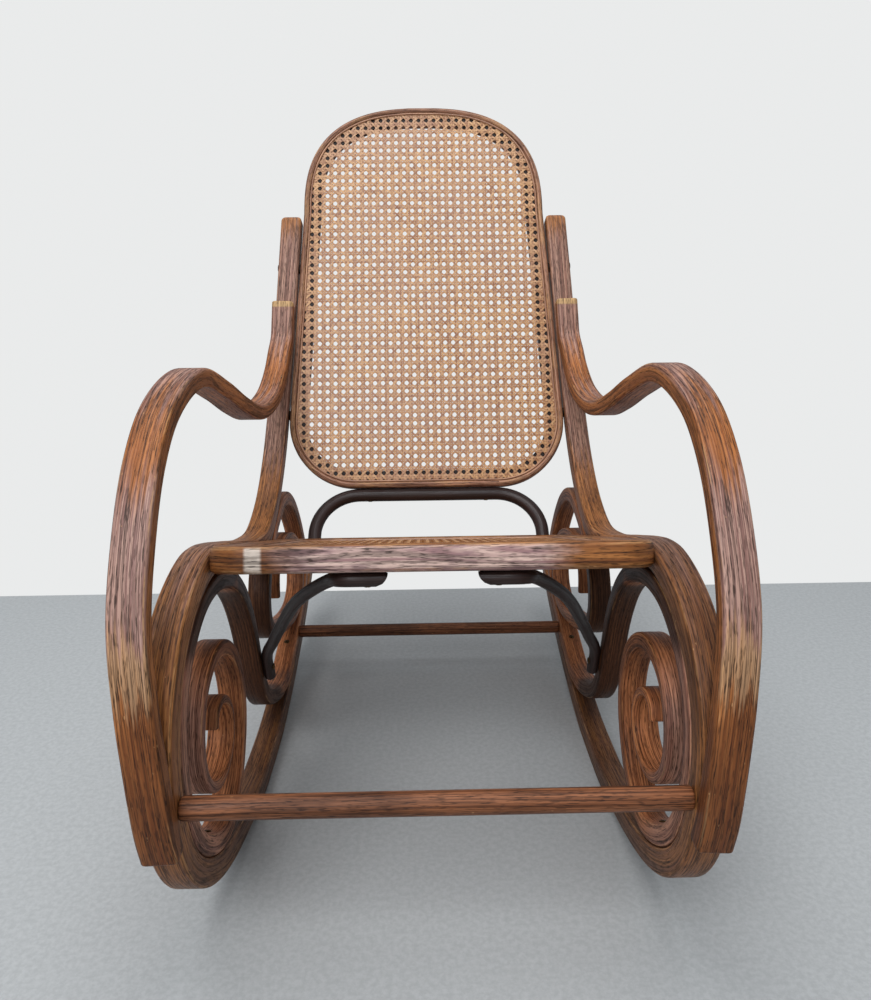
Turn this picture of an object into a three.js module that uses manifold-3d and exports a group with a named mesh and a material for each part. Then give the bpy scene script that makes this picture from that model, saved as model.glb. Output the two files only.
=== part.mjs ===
import * as THREE from 'three';
import { mergeVertices } from 'three/addons/utils/BufferGeometryUtils.js';
import Module from 'manifold-3d';

const wasm = await Module();
wasm.setup();

// Bentwood rocking chair. Millimetres, +Z up. The front faces -Y, and +X is on the right of
// someone who looks at the front. The origin is on the floor, under the middle of the chair.
// The pieces are laid out in a side view that is turned back by restTilt at the end.

// Driving dimensions
const sideSpan = 1000; // reference length of the side view: the side shares are parts of it
const frameGap = 455; // clear width between the two side frames
const railWidth = 32; // long rod, across the chair
const railThickness = 28; // long rod, in its bending plane
const scrollWidth = 30;
const scrollThickness = 22;
const curlThickness = 10; // scroll rod at its two thinned ends
const curlLength = 700; // length over which the scroll rod thins
const armWidth = 33;
const armThickness = 21;
const woodRound = 4; // rounding of the rods' long edges
const fitGap = 0.3; // air between pieces that touch
const nestGap = 0.5; // air between rods that lie along each other
const restTilt = THREE.MathUtils.degToRad(13); // how far back the empty chair leans
const chordSlack = 0.45; // how far a long rod's straight facets may leave its true curve
const scrollSlack = 0.75; // the same for a scroll rod
const stride = 26; // step between the guide points of a rod that follows another
const restLength = 36; // flat on the underside of a runner, where it meets the floor

const uprightLean = 0.063; // sideways lean of the uprights, as a share of their rise
const leanStartShare = 0.350; // height at which the lean starts
const leanFrontShare = -0.020; // depth in front of which nothing leans
const leanBlend = 40; // rise over which the lean sets in

const seatThickness = 28;
const seatDepth = 460;
const seatFrontShare = [-0.350, 0.372]; // top of the seat's front edge, as depth and height
const seatRim = 40;
const seatTilt = THREE.MathUtils.degToRad(5);
const seatFrontRound = 38;
const seatRearRound = 95;
const panelHeight = 635;
const panelFootShare = [0.114, 0.408]; // the panel's foot, as depth and height
const panelThickness = 22;
const panelRim = 9;
const panelTilt = THREE.MathUtils.degToRad(10.6);
const panelAir = 2.5; // space between the back panel and an upright
const panelFootRound = 105;
const panelShoulder = 182; // height of the rounded top
const panelRoundness = 2.6; // exponent of the rounded top's curve
const ledgeWidth = 18; // ledge that carries the edge of a cane
const caneInset = 4; // depth of the cane below the face of its frame
const caneThickness = 1.4;
const beadWidth = 3.2;
const beadHeight = 2;
const panelGapPitch = 52; // pitch of the gaps in the back's net
const seatGapPitch = 62;
const gapShare = 0.6; // gap width as a share of the pitch
const topSteps = 10;
const topFlatShare = 0.12;
const edgeRound = 3;

const hoopDiameter = 20;
const hoopHalfWidth = 174;
const hoopRearMargin = 35; // from the middle of the hoop's legs to the seat's rear edge
const hoopCorner = 68;
const hoopSocketDepth = 14;
const braceDiameter = 15;
const frontStretcherDiameter = 22;
const rearStretcherDiameter = 21;
const tenonDiameter = 12;
const tenonLength = 18;

const screwHeadDiameter = 9;
const screwHeadHeight = 2.4;
const screwShankDiameter = 4.4;
const boltHeadDiameter = 14;
const boltHeadHeight = 3;
const boltShankDiameter = 7;
const biteDepth = 14; // how far a screw or bolt goes into its last piece
const panelBite = 9; // the same in the back panel's rim
const seatBite = 11;
const hoopBite = 9;
const spotDepth = 1.2; // flat under a screw head on a round rod
const spacerDiameter = 15;
const armHeadShare = -0.045; // place of the arm's head bolt across the arm
const braceScrewShare = 0.29; // place of the screw from a brace into the seat
const hoopScrewShare = 0.52;

// Finishes
const walnut = { color: 0x6b3f22, roughness: 0.42, metalness: 0 };
const darkWood = { color: 0x2a1a14, roughness: 0.4, metalness: 0 };
const caneTan = { color: 0xc99a5e, roughness: 0.6, metalness: 0 };
const agedBrass = { color: 0x8a7346, roughness: 0.4, metalness: 1 };

const chair = new THREE.Group();
chair.name = 'bentwood_rocking_chair';

const sides = [['left', -1], ['right', 1]];
const innerFace = frameGap / 2;
const railCentre = innerFace + railWidth / 2;
const scrollCentre = innerFace + scrollWidth / 2;
const across = new THREE.Vector3(1, 0, 0);

// Paths in the side view: x is the depth, y the height

const sidePoints = (shares) => shares.map(
  ([depth, height]) => new THREE.Vector2(depth * sideSpan, height * sideSpan));

// A smooth curve through the points, as a chain of short pieces.
function finePath(points) {
  const curve = new THREE.CatmullRomCurve3(
    points.map((p) => new THREE.Vector3(p.x, p.y, 0)), false, 'centripetal');
  const pieces = Math.ceil(curve.getLength() / (8 * chordSlack));
  return curve.getSpacedPoints(pieces).map((p) => new THREE.Vector2(p.x, p.y));
}

const nearest = (path, point) => path.reduce(
  (best, p, i) => (p.distanceTo(point) < path[best].distanceTo(point) ? i : best), 0);

const tangentAt = (path, i) => path[Math.min(i + 1, path.length - 1)].clone()
  .sub(path[Math.max(i - 1, 0)]).normalize();

function leftNormalAt(path, i) {
  const along = tangentAt(path, i);
  return new THREE.Vector2(-along.y, along.x);
}

// The path moved towards the left of its direction of travel.
const shifted = (path, distanceAt) => path.map(
  (p, i) => leftNormalAt(path, i).multiplyScalar(distanceAt(i)).add(p));

// Points a stride apart on the stretch of a path that lies between two places.
function stretchOf(path, start, end) {
  const [from, to] = [nearest(path, start), nearest(path, end)];
  const strides = Math.max(1, Math.round(path[from].distanceTo(path[to]) / stride));
  return Array.from({ length: strides + 1 },
    (_, i) => path[Math.round(from + ((to - from) * i) / strides)]);
}

function distanceToChord(point, start, end) {
  const along = end.clone().sub(start).normalize();
  const offset = point.clone().sub(start);
  return Math.abs(along.x * offset.y - along.y * offset.x);
}

// The places in a fine path that keep straight facets within the slack.
function facetPlaces(path, slack) {
  const kept = [0];
  path.forEach((end, to) => {
    const from = kept[kept.length - 1];
    const skipped = path.slice(from + 1, to);
    if (skipped.some((p) => distanceToChord(p, path[from], end) > slack)) kept.push(to - 1);
  });
  return [...kept, path.length - 1];
}

// Long rod: upright, seat side, front bow and runner in one

const contactShare = [0.007, 0.0338];
const alongFloor = new THREE.Vector2(Math.cos(restTilt), Math.sin(restTilt));
const contactEnds = [-1, 1].map(
  (end) => sidePoints([contactShare])[0].addScaledVector(alongFloor, (end * restLength) / 2));
const railTopShares = [
  [0.1925, 0.845], [0.183, 0.780], [0.165, 0.660], [0.137, 0.540], [0.104, 0.447],
  [0.059, 0.383], [-0.002, 0.346], [-0.080, 0.338], [-0.165, 0.344], [-0.238, 0.350],
  [-0.275, 0.351], [-0.310, 0.347], [-0.352, 0.331], [-0.392, 0.305], [-0.422, 0.270],
  [-0.439, 0.232], [-0.443, 0.190], [-0.434, 0.143], [-0.414, 0.101], [-0.385, 0.067],
  [-0.347, 0.042], [-0.300, 0.025], [-0.245, 0.016], [-0.160, 0.014], [-0.070, 0.0185],
  [-0.030, 0.0258],
];
const runnerShares = [
  [0.060, 0.0474], [0.110, 0.0655], [0.180, 0.096],
  [0.250, 0.131], [0.320, 0.172], [0.380, 0.212], [0.432, 0.252], [0.468, 0.284],
];
const railPath = [
  ...finePath([...sidePoints(railTopShares), contactEnds[0]]),
  ...finePath([contactEnds[1], ...sidePoints(runnerShares)]),
];

// Scroll rod: front spiral, arch, low bend and rear loop in one

const nestOffset = (railThickness + scrollThickness) / 2 + nestGap;
const nestPath = shifted(railPath, () => nestOffset);
const nested = (endShares) => stretchOf(nestPath, ...sidePoints(endShares));
const onNest = (share) => nearest(nestPath, sidePoints([share])[0]);
// places along the long rod where the scroll rod is screwed to it
const nestShares = {
  front: [-0.309, 0.056], arch: [-0.262, 0.3255], rear: [0.205, 0.135], loop: [0.056, 0.3475],
};
const frontSpiralShares = [
  [-0.303, 0.173], [-0.298, 0.189], [-0.280, 0.1965], [-0.258, 0.192], [-0.241, 0.177],
  [-0.234, 0.154], [-0.244, 0.131], [-0.268, 0.1155], [-0.298, 0.112], [-0.326, 0.122],
  [-0.346, 0.142], [-0.355, 0.168], [-0.353, 0.198], [-0.340, 0.224], [-0.315, 0.243],
  [-0.278, 0.252], [-0.240, 0.245], [-0.207, 0.224], [-0.185, 0.190], [-0.179, 0.150],
  [-0.189, 0.112], [-0.209, 0.079], [-0.237, 0.056], [-0.268, 0.047],
];
const bowNestShares = [[-0.298, 0.052], [-0.398, 0.262]];
const archFrontShares = [[-0.372, 0.289], [-0.338, 0.311], [-0.300, 0.3225]];
const lowBendShares = [
  [-0.220, 0.320], [-0.187, 0.309], [-0.156, 0.290], [-0.129, 0.264], [-0.106, 0.234],
  [-0.087, 0.200], [-0.067, 0.166], [-0.043, 0.138], [-0.013, 0.119], [0.025, 0.108],
  [0.065, 0.102], [0.102, 0.102], [0.145, 0.108],
];
const runnerNestShares = [[0.190, 0.126], [0.270, 0.173]];
const rearLoopShares = [
  [0.304, 0.193], [0.331, 0.215], [0.350, 0.246], [0.346, 0.281], [0.318, 0.314],
  [0.276, 0.350], [0.226, 0.379], [0.175, 0.392], [0.132, 0.388], [0.099, 0.374],
];
const uprightNestShares = [[0.070, 0.357], [0.042, 0.338]];
const rearCurlShares = [
  [0.006, 0.297], [-0.007, 0.262], [-0.004, 0.232], [0.013, 0.212], [0.042, 0.201],
  [0.090, 0.195], [0.150, 0.190], [0.215, 0.190], [0.268, 0.200], [0.298, 0.222],
  [0.307, 0.250], [0.297, 0.279], [0.274, 0.301], [0.244, 0.317], [0.205, 0.327],
  [0.155, 0.329], [0.112, 0.320], [0.083, 0.300], [0.070, 0.274], [0.070, 0.245],
];
const scrollPath = finePath([
  ...sidePoints(frontSpiralShares),
  ...nested(bowNestShares),
  ...sidePoints(archFrontShares),
  nestPath[onNest(nestShares.arch)],
  ...sidePoints(lowBendShares),
  ...nested(runnerNestShares),
  ...sidePoints(rearLoopShares),
  ...nested(uprightNestShares),
  ...sidePoints(rearCurlShares),
]);

// Solids

function flatShape(outline, holes = []) {
  const shape = new THREE.Shape(outline);
  shape.holes = holes.map((hole) => new THREE.Path(hole));
  return shape;
}

// A plate with rounded edges, its middle plane at local Z 0.
function roundedPlate(shape, thickness, round, steps) {
  const geometry = new THREE.ExtrudeGeometry(shape, {
    depth: thickness - 2 * round,
    bevelEnabled: true,
    bevelThickness: round,
    bevelSize: round,
    bevelOffset: -round,
    bevelSegments: steps,
  });
  return geometry.translate(0, 0, round - thickness / 2);
}

function plainPlate(shape, thickness) {
  return new THREE.ExtrudeGeometry(shape, { depth: thickness, bevelEnabled: false });
}

// A rod bent in the plane of a side frame, centred on that plane.
function flatRod(path, thicknessAt, width, slack) {
  const places = facetPlaces(path, slack);
  const edge = (sign) => {
    const moved = shifted(path, (i) => (sign * thicknessAt(i)) / 2);
    return places.map((i) => moved[i]);
  };
  const outline = [...edge(1), ...edge(-1).reverse()];
  const geometry = roundedPlate(flatShape(outline), width, woodRound, 1);
  // the outline's axes become the chair's Y and Z, and its thickness lies along X
  return geometry.applyMatrix4(new THREE.Matrix4().makeBasis(
    new THREE.Vector3(0, 1, 0), new THREE.Vector3(0, 0, 1), across));
}

function scrollThicknessAt(path) {
  const lengths = path.reduce((sums, p, i) => (
    i ? [...sums, sums[i - 1] + p.distanceTo(path[i - 1])] : [0]), []);
  const whole = lengths[lengths.length - 1];
  return (i) => {
    const toEnd = Math.min(lengths[i], whole - lengths[i]);
    const fullness = THREE.MathUtils.smoothstep(toEnd, 0, curlLength);
    return THREE.MathUtils.lerp(curlThickness, scrollThickness, fullness);
  };
}

// How far an upright has leaned inwards at a height.
function leanAt(height) {
  const rise = Math.max(height - leanStartShare * sideSpan, 0);
  const grown = rise < leanBlend ? (rise * rise) / (2 * leanBlend) : rise - leanBlend / 2;
  return uprightLean * grown;
}

function leaned(geometry, sign) {
  const corners = geometry.attributes.position;
  for (let i = 0; i < corners.count; i += 1) {
    if (corners.getY(i) > leanFrontShare * sideSpan) {
      corners.setX(i, corners.getX(i) - sign * leanAt(corners.getZ(i)));
    }
  }
  geometry.computeVertexNormals();
  return geometry;
}

function manifoldOf(geometry) {
  const plain = geometry.clone();
  plain.deleteAttribute('normal');
  plain.deleteAttribute('uv');
  const merged = mergeVertices(plain);
  return new wasm.Manifold(new wasm.Mesh({
    numProp: 3,
    vertProperties: new Float32Array(merged.attributes.position.array),
    triVerts: new Uint32Array(merged.index.array),
  }));
}

function geometryOf(solid) {
  const mesh = solid.getMesh();
  const corners = new Float32Array(3 * mesh.triVerts.length);
  mesh.triVerts.forEach((vertex, i) => {
    const start = vertex * mesh.numProp;
    corners.set(mesh.vertProperties.slice(start, start + 3), 3 * i);
  });
  const geometry = new THREE.BufferGeometry();
  geometry.setAttribute('position', new THREE.BufferAttribute(corners, 3));
  geometry.computeVertexNormals();
  return geometry;
}

const joined = (first, second) => geometryOf(manifoldOf(first).add(manifoldOf(second)));

// A solid of revolution about local Y from [radius, distance] corners.
const turned = (corners, facets) => new THREE.LatheGeometry(
  corners.map(([radius, distance]) => new THREE.Vector2(radius, distance)), facets);

const roundSection = (diameter, facets) => new THREE.Shape(
  Array.from({ length: facets }, (_, i) => {
    const angle = (2 * Math.PI * (i + 1 / 2)) / facets;
    return new THREE.Vector2(Math.cos(angle), Math.sin(angle)).multiplyScalar(diameter / 2);
  }));

function boxedSection(width, thickness, round) {
  const [w, t] = [width / 2, thickness / 2];
  const half = [[w, t - round], [w - round, t], [round - w, t], [-w, t - round]]
    .map(([x, y]) => new THREE.Vector2(x, y));
  return new THREE.Shape([...half, ...half.map((p) => p.clone().negate())]);
}

function sweptRod(points, section, steps) {
  const curve = new THREE.CatmullRomCurve3(points, false, 'centripetal');
  return new THREE.ExtrudeGeometry(section, { steps, extrudePath: curve, bevelEnabled: false });
}

function piece(name, geometry, finish, parent = chair) {
  const mesh = new THREE.Mesh(geometry, new THREE.MeshStandardMaterial({ ...finish }));
  mesh.name = name;
  parent.add(mesh);
  return mesh;
}

// Takes a placed cutter out of a placed piece.
function cut(mesh, cutter, placement) {
  mesh.updateWorldMatrix(true, false);
  const toMesh = mesh.matrixWorld.clone().invert().multiply(placement);
  mesh.geometry = geometryOf(
    manifoldOf(mesh.geometry).subtract(manifoldOf(cutter.clone().applyMatrix4(toMesh))));
}

// Fasteners: a head outside, a shank through to the last piece

const screwKind = {
  head: screwHeadDiameter / 2, headHeight: screwHeadHeight, shank: screwShankDiameter / 2,
};
const boltKind = {
  head: boltHeadDiameter / 2, headHeight: boltHeadHeight, shank: boltShankDiameter / 2,
};
const fastenerFacets = 6;
const domeShare = 0.55;

// `at` is on the surface under the head, `along` points into the wood.
function fasten(name, kind, at, along, length, pieces) {
  const screw = piece(name, turned([
    [0, -fitGap - kind.headHeight],
    [kind.head * domeShare, -fitGap - kind.headHeight],
    [kind.head, -fitGap - kind.headHeight / 2],
    [kind.head, -fitGap],
    [kind.shank, -fitGap],
    [kind.shank, length],
    [0, length],
  ], fastenerFacets), agedBrass);
  screw.position.copy(at);
  screw.quaternion.setFromUnitVectors(new THREE.Vector3(0, 1, 0), along.clone().normalize());
  screw.updateWorldMatrix(true, false);
  const [seat, bore] = [kind.head + fitGap, kind.shank + fitGap];
  const hole = turned([
    [0, -2 * kind.headHeight], [seat, -2 * kind.headHeight], [seat, 0],
    [bore, 0], [bore, length + fitGap], [0, length + fitGap],
  ], fastenerFacets);
  pieces.forEach((mesh) => cut(mesh, hole, screw.matrixWorld));
}

// Seat and back panel: bent frames with a ledge, a cane net on it and a bead over its edge

// A closed outline moved inwards, for outlines that run counterclockwise.
const inset = (outline, distance) => outline.map((p, i) => {
  const before = outline[(i + outline.length - 1) % outline.length];
  const after = outline[(i + 1) % outline.length];
  const [into, out] = [p.clone().sub(before).normalize(), after.clone().sub(p).normalize()];
  const normal = new THREE.Vector2(-into.y - out.y, into.x + out.x).normalize();
  const stretchShare = 1 / Math.sqrt((1 + into.dot(out)) / 2);
  return p.clone().addScaledVector(normal, distance * stretchShare);
});

const mirroredOutline = (rightHalf) => [
  ...rightHalf, ...rightHalf.map((p) => new THREE.Vector2(-p.x, p.y)).reverse()];

function cornerArc(centreX, centreY, radiusX, radiusY, startTurn, steps) {
  return Array.from({ length: steps + 1 }, (_, i) => {
    const angle = (startTurn + i / (4 * steps)) * 2 * Math.PI;
    return new THREE.Vector2(
      centreX + radiusX * Math.cos(angle), centreY + radiusY * Math.sin(angle));
  });
}

// The seat's outline, moved inwards by a distance.
function seatOutline(distance) {
  const half = innerFace - fitGap - distance;
  const [front, rear] = [seatFrontRound, seatRearRound].map(
    (round) => Math.max(round - distance, edgeRound));
  return mirroredOutline([
    ...cornerArc(half - front, distance + front, front, front, -1 / 4, 5),
    ...cornerArc(half - rear, seatDepth - distance - rear, rear, rear, 0, 7),
  ]);
}

function panelOutline(footHalf, taper) {
  const shoulderLevel = panelHeight - panelShoulder;
  const halfAt = (level) => footHalf - taper * level;
  const roundedTop = Array.from({ length: topSteps }, (_, i) => {
    const angle = (Math.PI * i) / (2 * topSteps);
    return new THREE.Vector2(
      halfAt(shoulderLevel) * Math.cos(angle) ** (2 / panelRoundness),
      shoulderLevel + panelShoulder * Math.sin(angle) ** (2 / panelRoundness));
  });
  const foot = halfAt(panelFootRound) - panelFootRound;
  return mirroredOutline([
    ...cornerArc(foot, panelFootRound, panelFootRound, panelFootRound, -1 / 4, 6),
    ...roundedTop,
    new THREE.Vector2(halfAt(shoulderLevel) * topFlatShare, panelHeight),
  ]);
}

function isInside(outline, point) {
  const crossings = outline.filter((p, i) => {
    const next = outline[(i + 1) % outline.length];
    if ((p.y > point.y) === (next.y > point.y)) return false;
    const share = (point.y - p.y) / (next.y - p.y);
    return point.x < p.x + share * (next.x - p.x);
  });
  return crossings.length % 2 === 1;
}

// Square gaps on a regular grid, as many as fit inside the outline.
function netGaps(outline, pitch) {
  const top = Math.max(...outline.map((p) => p.y));
  const half = (pitch * gapShare) / 2;
  const gaps = [];
  const reach = Math.ceil(frameGap / pitch);
  for (let row = 1; row * pitch < top; row += 1) {
    for (let column = -reach; column <= reach; column += 1) {
      const centre = new THREE.Vector2(column * pitch, row * pitch);
      const gap = [[-1, -1], [1, -1], [1, 1], [-1, 1]].map(
        ([x, y]) => new THREE.Vector2(x, y).multiplyScalar(half).add(centre));
      if (gap.every((corner) => isInside(outline, corner))) gaps.push(gap);
    }
  }
  return gaps;
}

// Frame, cane and bead of one caned surface, in a group whose local Z is the caned side.
function canedFrame(name, outlineAt, thickness, rim, pitch) {
  const group = new THREE.Group();
  chair.add(group);
  const face = thickness / 2;
  const caneBack = face - caneInset - caneThickness;
  const ledgeBack = -face + edgeRound;
  const opening = outlineAt(rim + ledgeWidth);
  const rimRing = roundedPlate(flatShape(outlineAt(0), [outlineAt(rim)]),
    thickness, edgeRound, 1);
  const ledge = plainPlate(flatShape(outlineAt(rim / 2), [opening]),
    caneBack - fitGap - ledgeBack).translate(0, 0, ledgeBack);
  const caneEdge = outlineAt(rim + fitGap);
  const gaps = plainPlate(netGaps(opening, pitch).map((gap) => flatShape(gap)),
    3 * caneThickness).translate(0, 0, -caneThickness);
  const cane = geometryOf(manifoldOf(plainPlate(flatShape(caneEdge), caneThickness))
    .subtract(manifoldOf(gaps))).translate(0, 0, caneBack);
  const bead = plainPlate(
    flatShape(caneEdge, [outlineAt(rim + fitGap + beadWidth)]), beadHeight)
    .translate(0, 0, caneBack + caneThickness + fitGap);
  const frame = piece(`${name}_frame`, joined(rimRing, ledge), walnut, group);
  piece(`${name}_cane`, cane, caneTan, group);
  piece(`${name}_bead`, bead, caneTan, group);
  return { group, frame };
}

// Side frames

const inSide = (sign, offset, point) => new THREE.Vector3(sign * offset, point.x, point.y);
const armNestPath = shifted(railPath, () => -(railThickness + armThickness) / 2 - nestGap);
const armNested = (endShares, outShares) => stretchOf(
  armNestPath, ...sidePoints(endShares)).map((p, i, all) => new THREE.Vector3(
  innerFace + sideSpan * THREE.MathUtils.lerp(...outShares, i / (all.length - 1)), p.x, p.y));
// where the arm lies along the long rod, at its foot and at its head
const armFootShares = [[-0.451, 0.113], [-0.469, 0.172]];
const armFootOutShares = [0.0125, 0.0155];
const armHeadShares = [[0.129, 0.6455], [0.141, 0.7045]];
const armHeadOutShares = [-0.0014, -0.0032];
// depth, height, and the arm's centre outwards of the side frame's inner face
const armShares = [
  [-0.470, 0.200, 0.0175], [-0.472, 0.250, 0.022], [-0.465, 0.318, 0.028],
  [-0.445, 0.393, 0.028], [-0.413, 0.455, 0.028], [-0.371, 0.502, 0.0265],
  [-0.270, 0.5435, 0.0265], [-0.180, 0.538, 0.022], [-0.110, 0.5255, 0.017],
  [-0.050, 0.520, 0.0125], [0.000, 0.528, 0.0085], [0.050, 0.551, 0.004],
  [0.090, 0.586, 0.001], [0.115, 0.616, 0],
];
const armPoints = [
  ...armNested(armFootShares, armFootOutShares),
  ...armShares.map(([depth, height, out]) => new THREE.Vector3(
    innerFace + out * sideSpan, depth * sideSpan, height * sideSpan)),
  ...armNested(armHeadShares, armHeadOutShares),
];
const armSteps = 46;

const sideFrames = sides.map(([side, sign]) => {
  const rail = piece(`long_rod_${side}`,
    leaned(flatRod(railPath, () => railThickness, railWidth, chordSlack), sign), walnut);
  rail.position.x = sign * railCentre;
  const scroll = piece(`scroll_rod_${side}`,
    flatRod(scrollPath, scrollThicknessAt(scrollPath), scrollWidth, scrollSlack), walnut);
  scroll.position.x = sign * scrollCentre;
  const arm = piece(`arm_${side}`, sweptRod(
    armPoints.map((p) => new THREE.Vector3(sign * (p.x - railCentre), p.y, p.z)),
    boxedSection(armWidth, armThickness, woodRound), armSteps), walnut);
  arm.position.x = sign * railCentre;
  // the rods that lie along the long rod are relieved where their facets would cross its own
  rail.updateWorldMatrix(true, false);
  const relief = leaned(flatRod(
    railPath, () => railThickness + 2 * fitGap, 2 * railWidth, chordSlack), sign);
  [scroll, arm].forEach((rod) => cut(rod, relief, rail.matrixWorld));
  return { side, sign, rail, scroll, arm };
});

// Seat and back

const seat = canedFrame('seat', seatOutline, seatThickness, seatRim, seatGapPitch);
seat.group.rotation.x = -seatTilt;
const [seatFront, panelFoot] = sidePoints([seatFrontShare, panelFootShare]);
seat.group.position.set(0, seatFront.x, seatFront.y - seatThickness / 2);
const panelHalfFoot = innerFace - leanAt(panelFoot.y) - panelAir;
const backOutline = panelOutline(panelHalfFoot, uprightLean * Math.cos(panelTilt));
const panel = canedFrame('back', (distance) => inset(backOutline, distance),
  panelThickness, panelRim, panelGapPitch);
panel.group.rotation.x = Math.PI / 2 - panelTilt;
panel.group.position.set(0, panelFoot.x, panelFoot.y);
[seat, panel].forEach(({ group }) => group.updateMatrixWorld(true));
const inSeat = (x, y, z) => new THREE.Vector3(x, y, z).applyMatrix4(seat.group.matrixWorld);
const inPanel = (x, y, z) => new THREE.Vector3(x, y, z).applyMatrix4(panel.group.matrixWorld);

// Back hoop, standing in the seat's rear rail and carrying the foot of the panel

const hoopFoot = inSeat(0, seatDepth - hoopRearMargin, seatThickness / 2);
const hoopTop = inPanel(0, -hoopDiameter / 2 - fitGap, 0);
const hoopRise = hoopTop.distanceTo(hoopFoot);
const hoopUp = hoopTop.clone().sub(hoopFoot).normalize();
const hoopArc = cornerArc(
  hoopHalfWidth - hoopCorner, hoopRise - hoopCorner, hoopCorner, hoopCorner, 0, 4);
const hoopBarShares = [0.85, 0.4];
const hoopHalf = [
  new THREE.Vector2(hoopHalfWidth, -hoopSocketDepth), new THREE.Vector2(hoopHalfWidth, 0),
  ...hoopArc,
  ...hoopBarShares.map((share) => new THREE.Vector2(
    share * (hoopHalfWidth - hoopCorner), hoopRise)),
];
const hoop = piece('back_hoop', sweptRod(
  mirroredOutline(hoopHalf).map((p) => new THREE.Vector3(p.x, p.y, 0)),
  roundSection(hoopDiameter, 10), 34), darkWood);
hoop.position.copy(hoopFoot);
hoop.quaternion.setFromUnitVectors(new THREE.Vector3(0, 1, 0), hoopUp);
hoop.updateWorldMatrix(true, false);
const socketRadius = hoopDiameter / 2 + fitGap;
const socketDepth = hoopSocketDepth + fitGap;
sides.forEach(([, sign]) => cut(seat.frame, turned([
  [0, -socketDepth], [socketRadius, -socketDepth],
  [socketRadius, hoopRise / 2], [0, hoopRise / 2],
], 20).translate(sign * hoopHalfWidth, 0, 0), hoop.matrixWorld));

// Stretchers

function stretcher(name, path, share, diameter) {
  const at = path[nearest(path, sidePoints([share])[0])];
  const [shoulder, end] = [innerFace - fitGap, innerFace + tenonLength];
  const [body, tenon] = [diameter / 2, tenonDiameter / 2];
  const mesh = piece(name, turned([
    [0, -end], [tenon, -end], [tenon, -shoulder], [body, -shoulder],
    [body, shoulder], [tenon, shoulder], [tenon, end], [0, end],
  ], 14), walnut);
  mesh.position.set(0, at.x, at.y);
  mesh.rotation.z = -Math.PI / 2;
  mesh.updateWorldMatrix(true, false);
  const bore = tenonDiameter / 2 + fitGap;
  return sides.map(([, sign]) => {
    const [start, stop] = [sign * (shoulder - fitGap), sign * (end + fitGap)].sort((a, b) => a - b);
    return [turned([[0, start], [bore, start], [bore, stop], [0, stop]], 14), mesh.matrixWorld];
  });
}

const frontStretcherShare = [-0.436, 0.150];
const rearStretcherShare = [0.241, 0.154];
stretcher('front_stretcher', railPath, frontStretcherShare, frontStretcherDiameter)
  .forEach(([bore, placement], i) => cut(sideFrames[i].rail, bore, placement));
stretcher('rear_stretcher', scrollPath, rearStretcherShare, rearStretcherDiameter)
  .forEach(([bore, placement], i) => cut(sideFrames[i].scroll, bore, placement));

// Front braces, from under the seat's front rail to the inner faces of the scroll rods

const braceStart = inSeat(0, seatRim / 2, -seatThickness / 2 - braceDiameter / 2 - fitGap);
const braceFootShare = [-0.060, 0.160];
const braceFoot = sidePoints([braceFootShare])[0];
const braceFootX = innerFace - braceDiameter / 2 - fitGap;
const onBrace = (x, depthShare, heightShare) => new THREE.Vector3(x,
  THREE.MathUtils.lerp(braceStart.y, braceFoot.x, depthShare),
  THREE.MathUtils.lerp(braceStart.z, braceFoot.y, heightShare));
// shares of the half width, and of the way from the seat to the foot in depth and in height
const braceShares = [
  [0.200, 0, 0], [0.400, 0, 0], [0.475, 0.140, 0.035], [0.680, 0.412, 0.234],
  [0.832, 0.690, 0.505], [0.900, 0.815, 0.650],
];
const braceEndShare = 0.9; // length of the rounded end, as a share of the brace's diameter
const braceFootShares = [[0.926, 0.800], [1, 1]];
const bracePoints = [
  ...braceShares.map(([out, depth, height]) => onBrace(out * innerFace, depth, height)),
  ...braceFootShares.map(([depth, height]) => onBrace(braceFootX, depth, height)),
];
// The space under a brace's rounded inner end, in the seat's own directions.
function braceEndSpace(sign) {
  const length = braceEndShare * braceDiameter;
  const [start, top] = [braceShares[0][0] * innerFace, -seatThickness / 2 - fitGap];
  const corners = [[length, -2], [-braceDiameter, -2], [-braceDiameter, 0]].map(
    ([out, up]) => new THREE.Vector2(start + out, top + up * braceDiameter));
  return plainPlate(flatShape([
    ...cornerArc(start + length, top, length, braceDiameter, 0.5, 6), ...corners,
  ]), 2 * braceDiameter)
    .translate(0, 0, -braceDiameter).rotateX(Math.PI / 2)
    .rotateZ(sign > 0 ? 0 : Math.PI).translate(0, seatRim / 2, 0);
}

const braces = sides.map(([side, sign]) => {
  const brace = piece(`front_brace_${side}`, sweptRod(
    bracePoints.map((p) => new THREE.Vector3(sign * p.x, p.y, p.z)),
    roundSection(braceDiameter, 8), 26), darkWood);
  // flattened where it bears on the scroll rod
  const scrollSpace = new THREE.BoxGeometry(braceDiameter, sideSpan, sideSpan)
    .translate(sign * (innerFace - fitGap + braceDiameter / 2), 0, 0);
  cut(brace, scrollSpace, chair.matrixWorld);
  cut(brace, braceEndSpace(sign), seat.group.matrixWorld);
  return brace;
});

// Fasteners of the side frames

const armHeadBoltShare = [0.163, 0.650];
const armFootBoltShare = [-0.427, 0.126];
const onRail = (share) => nearest(railPath, sidePoints([share])[0]);
const towardsRail = (i) => leftNormalAt(railPath, i).negate();
const layers = (...thicknesses) => thicknesses.reduce((sum, t) => sum + t + nestGap, biteDepth);

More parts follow.
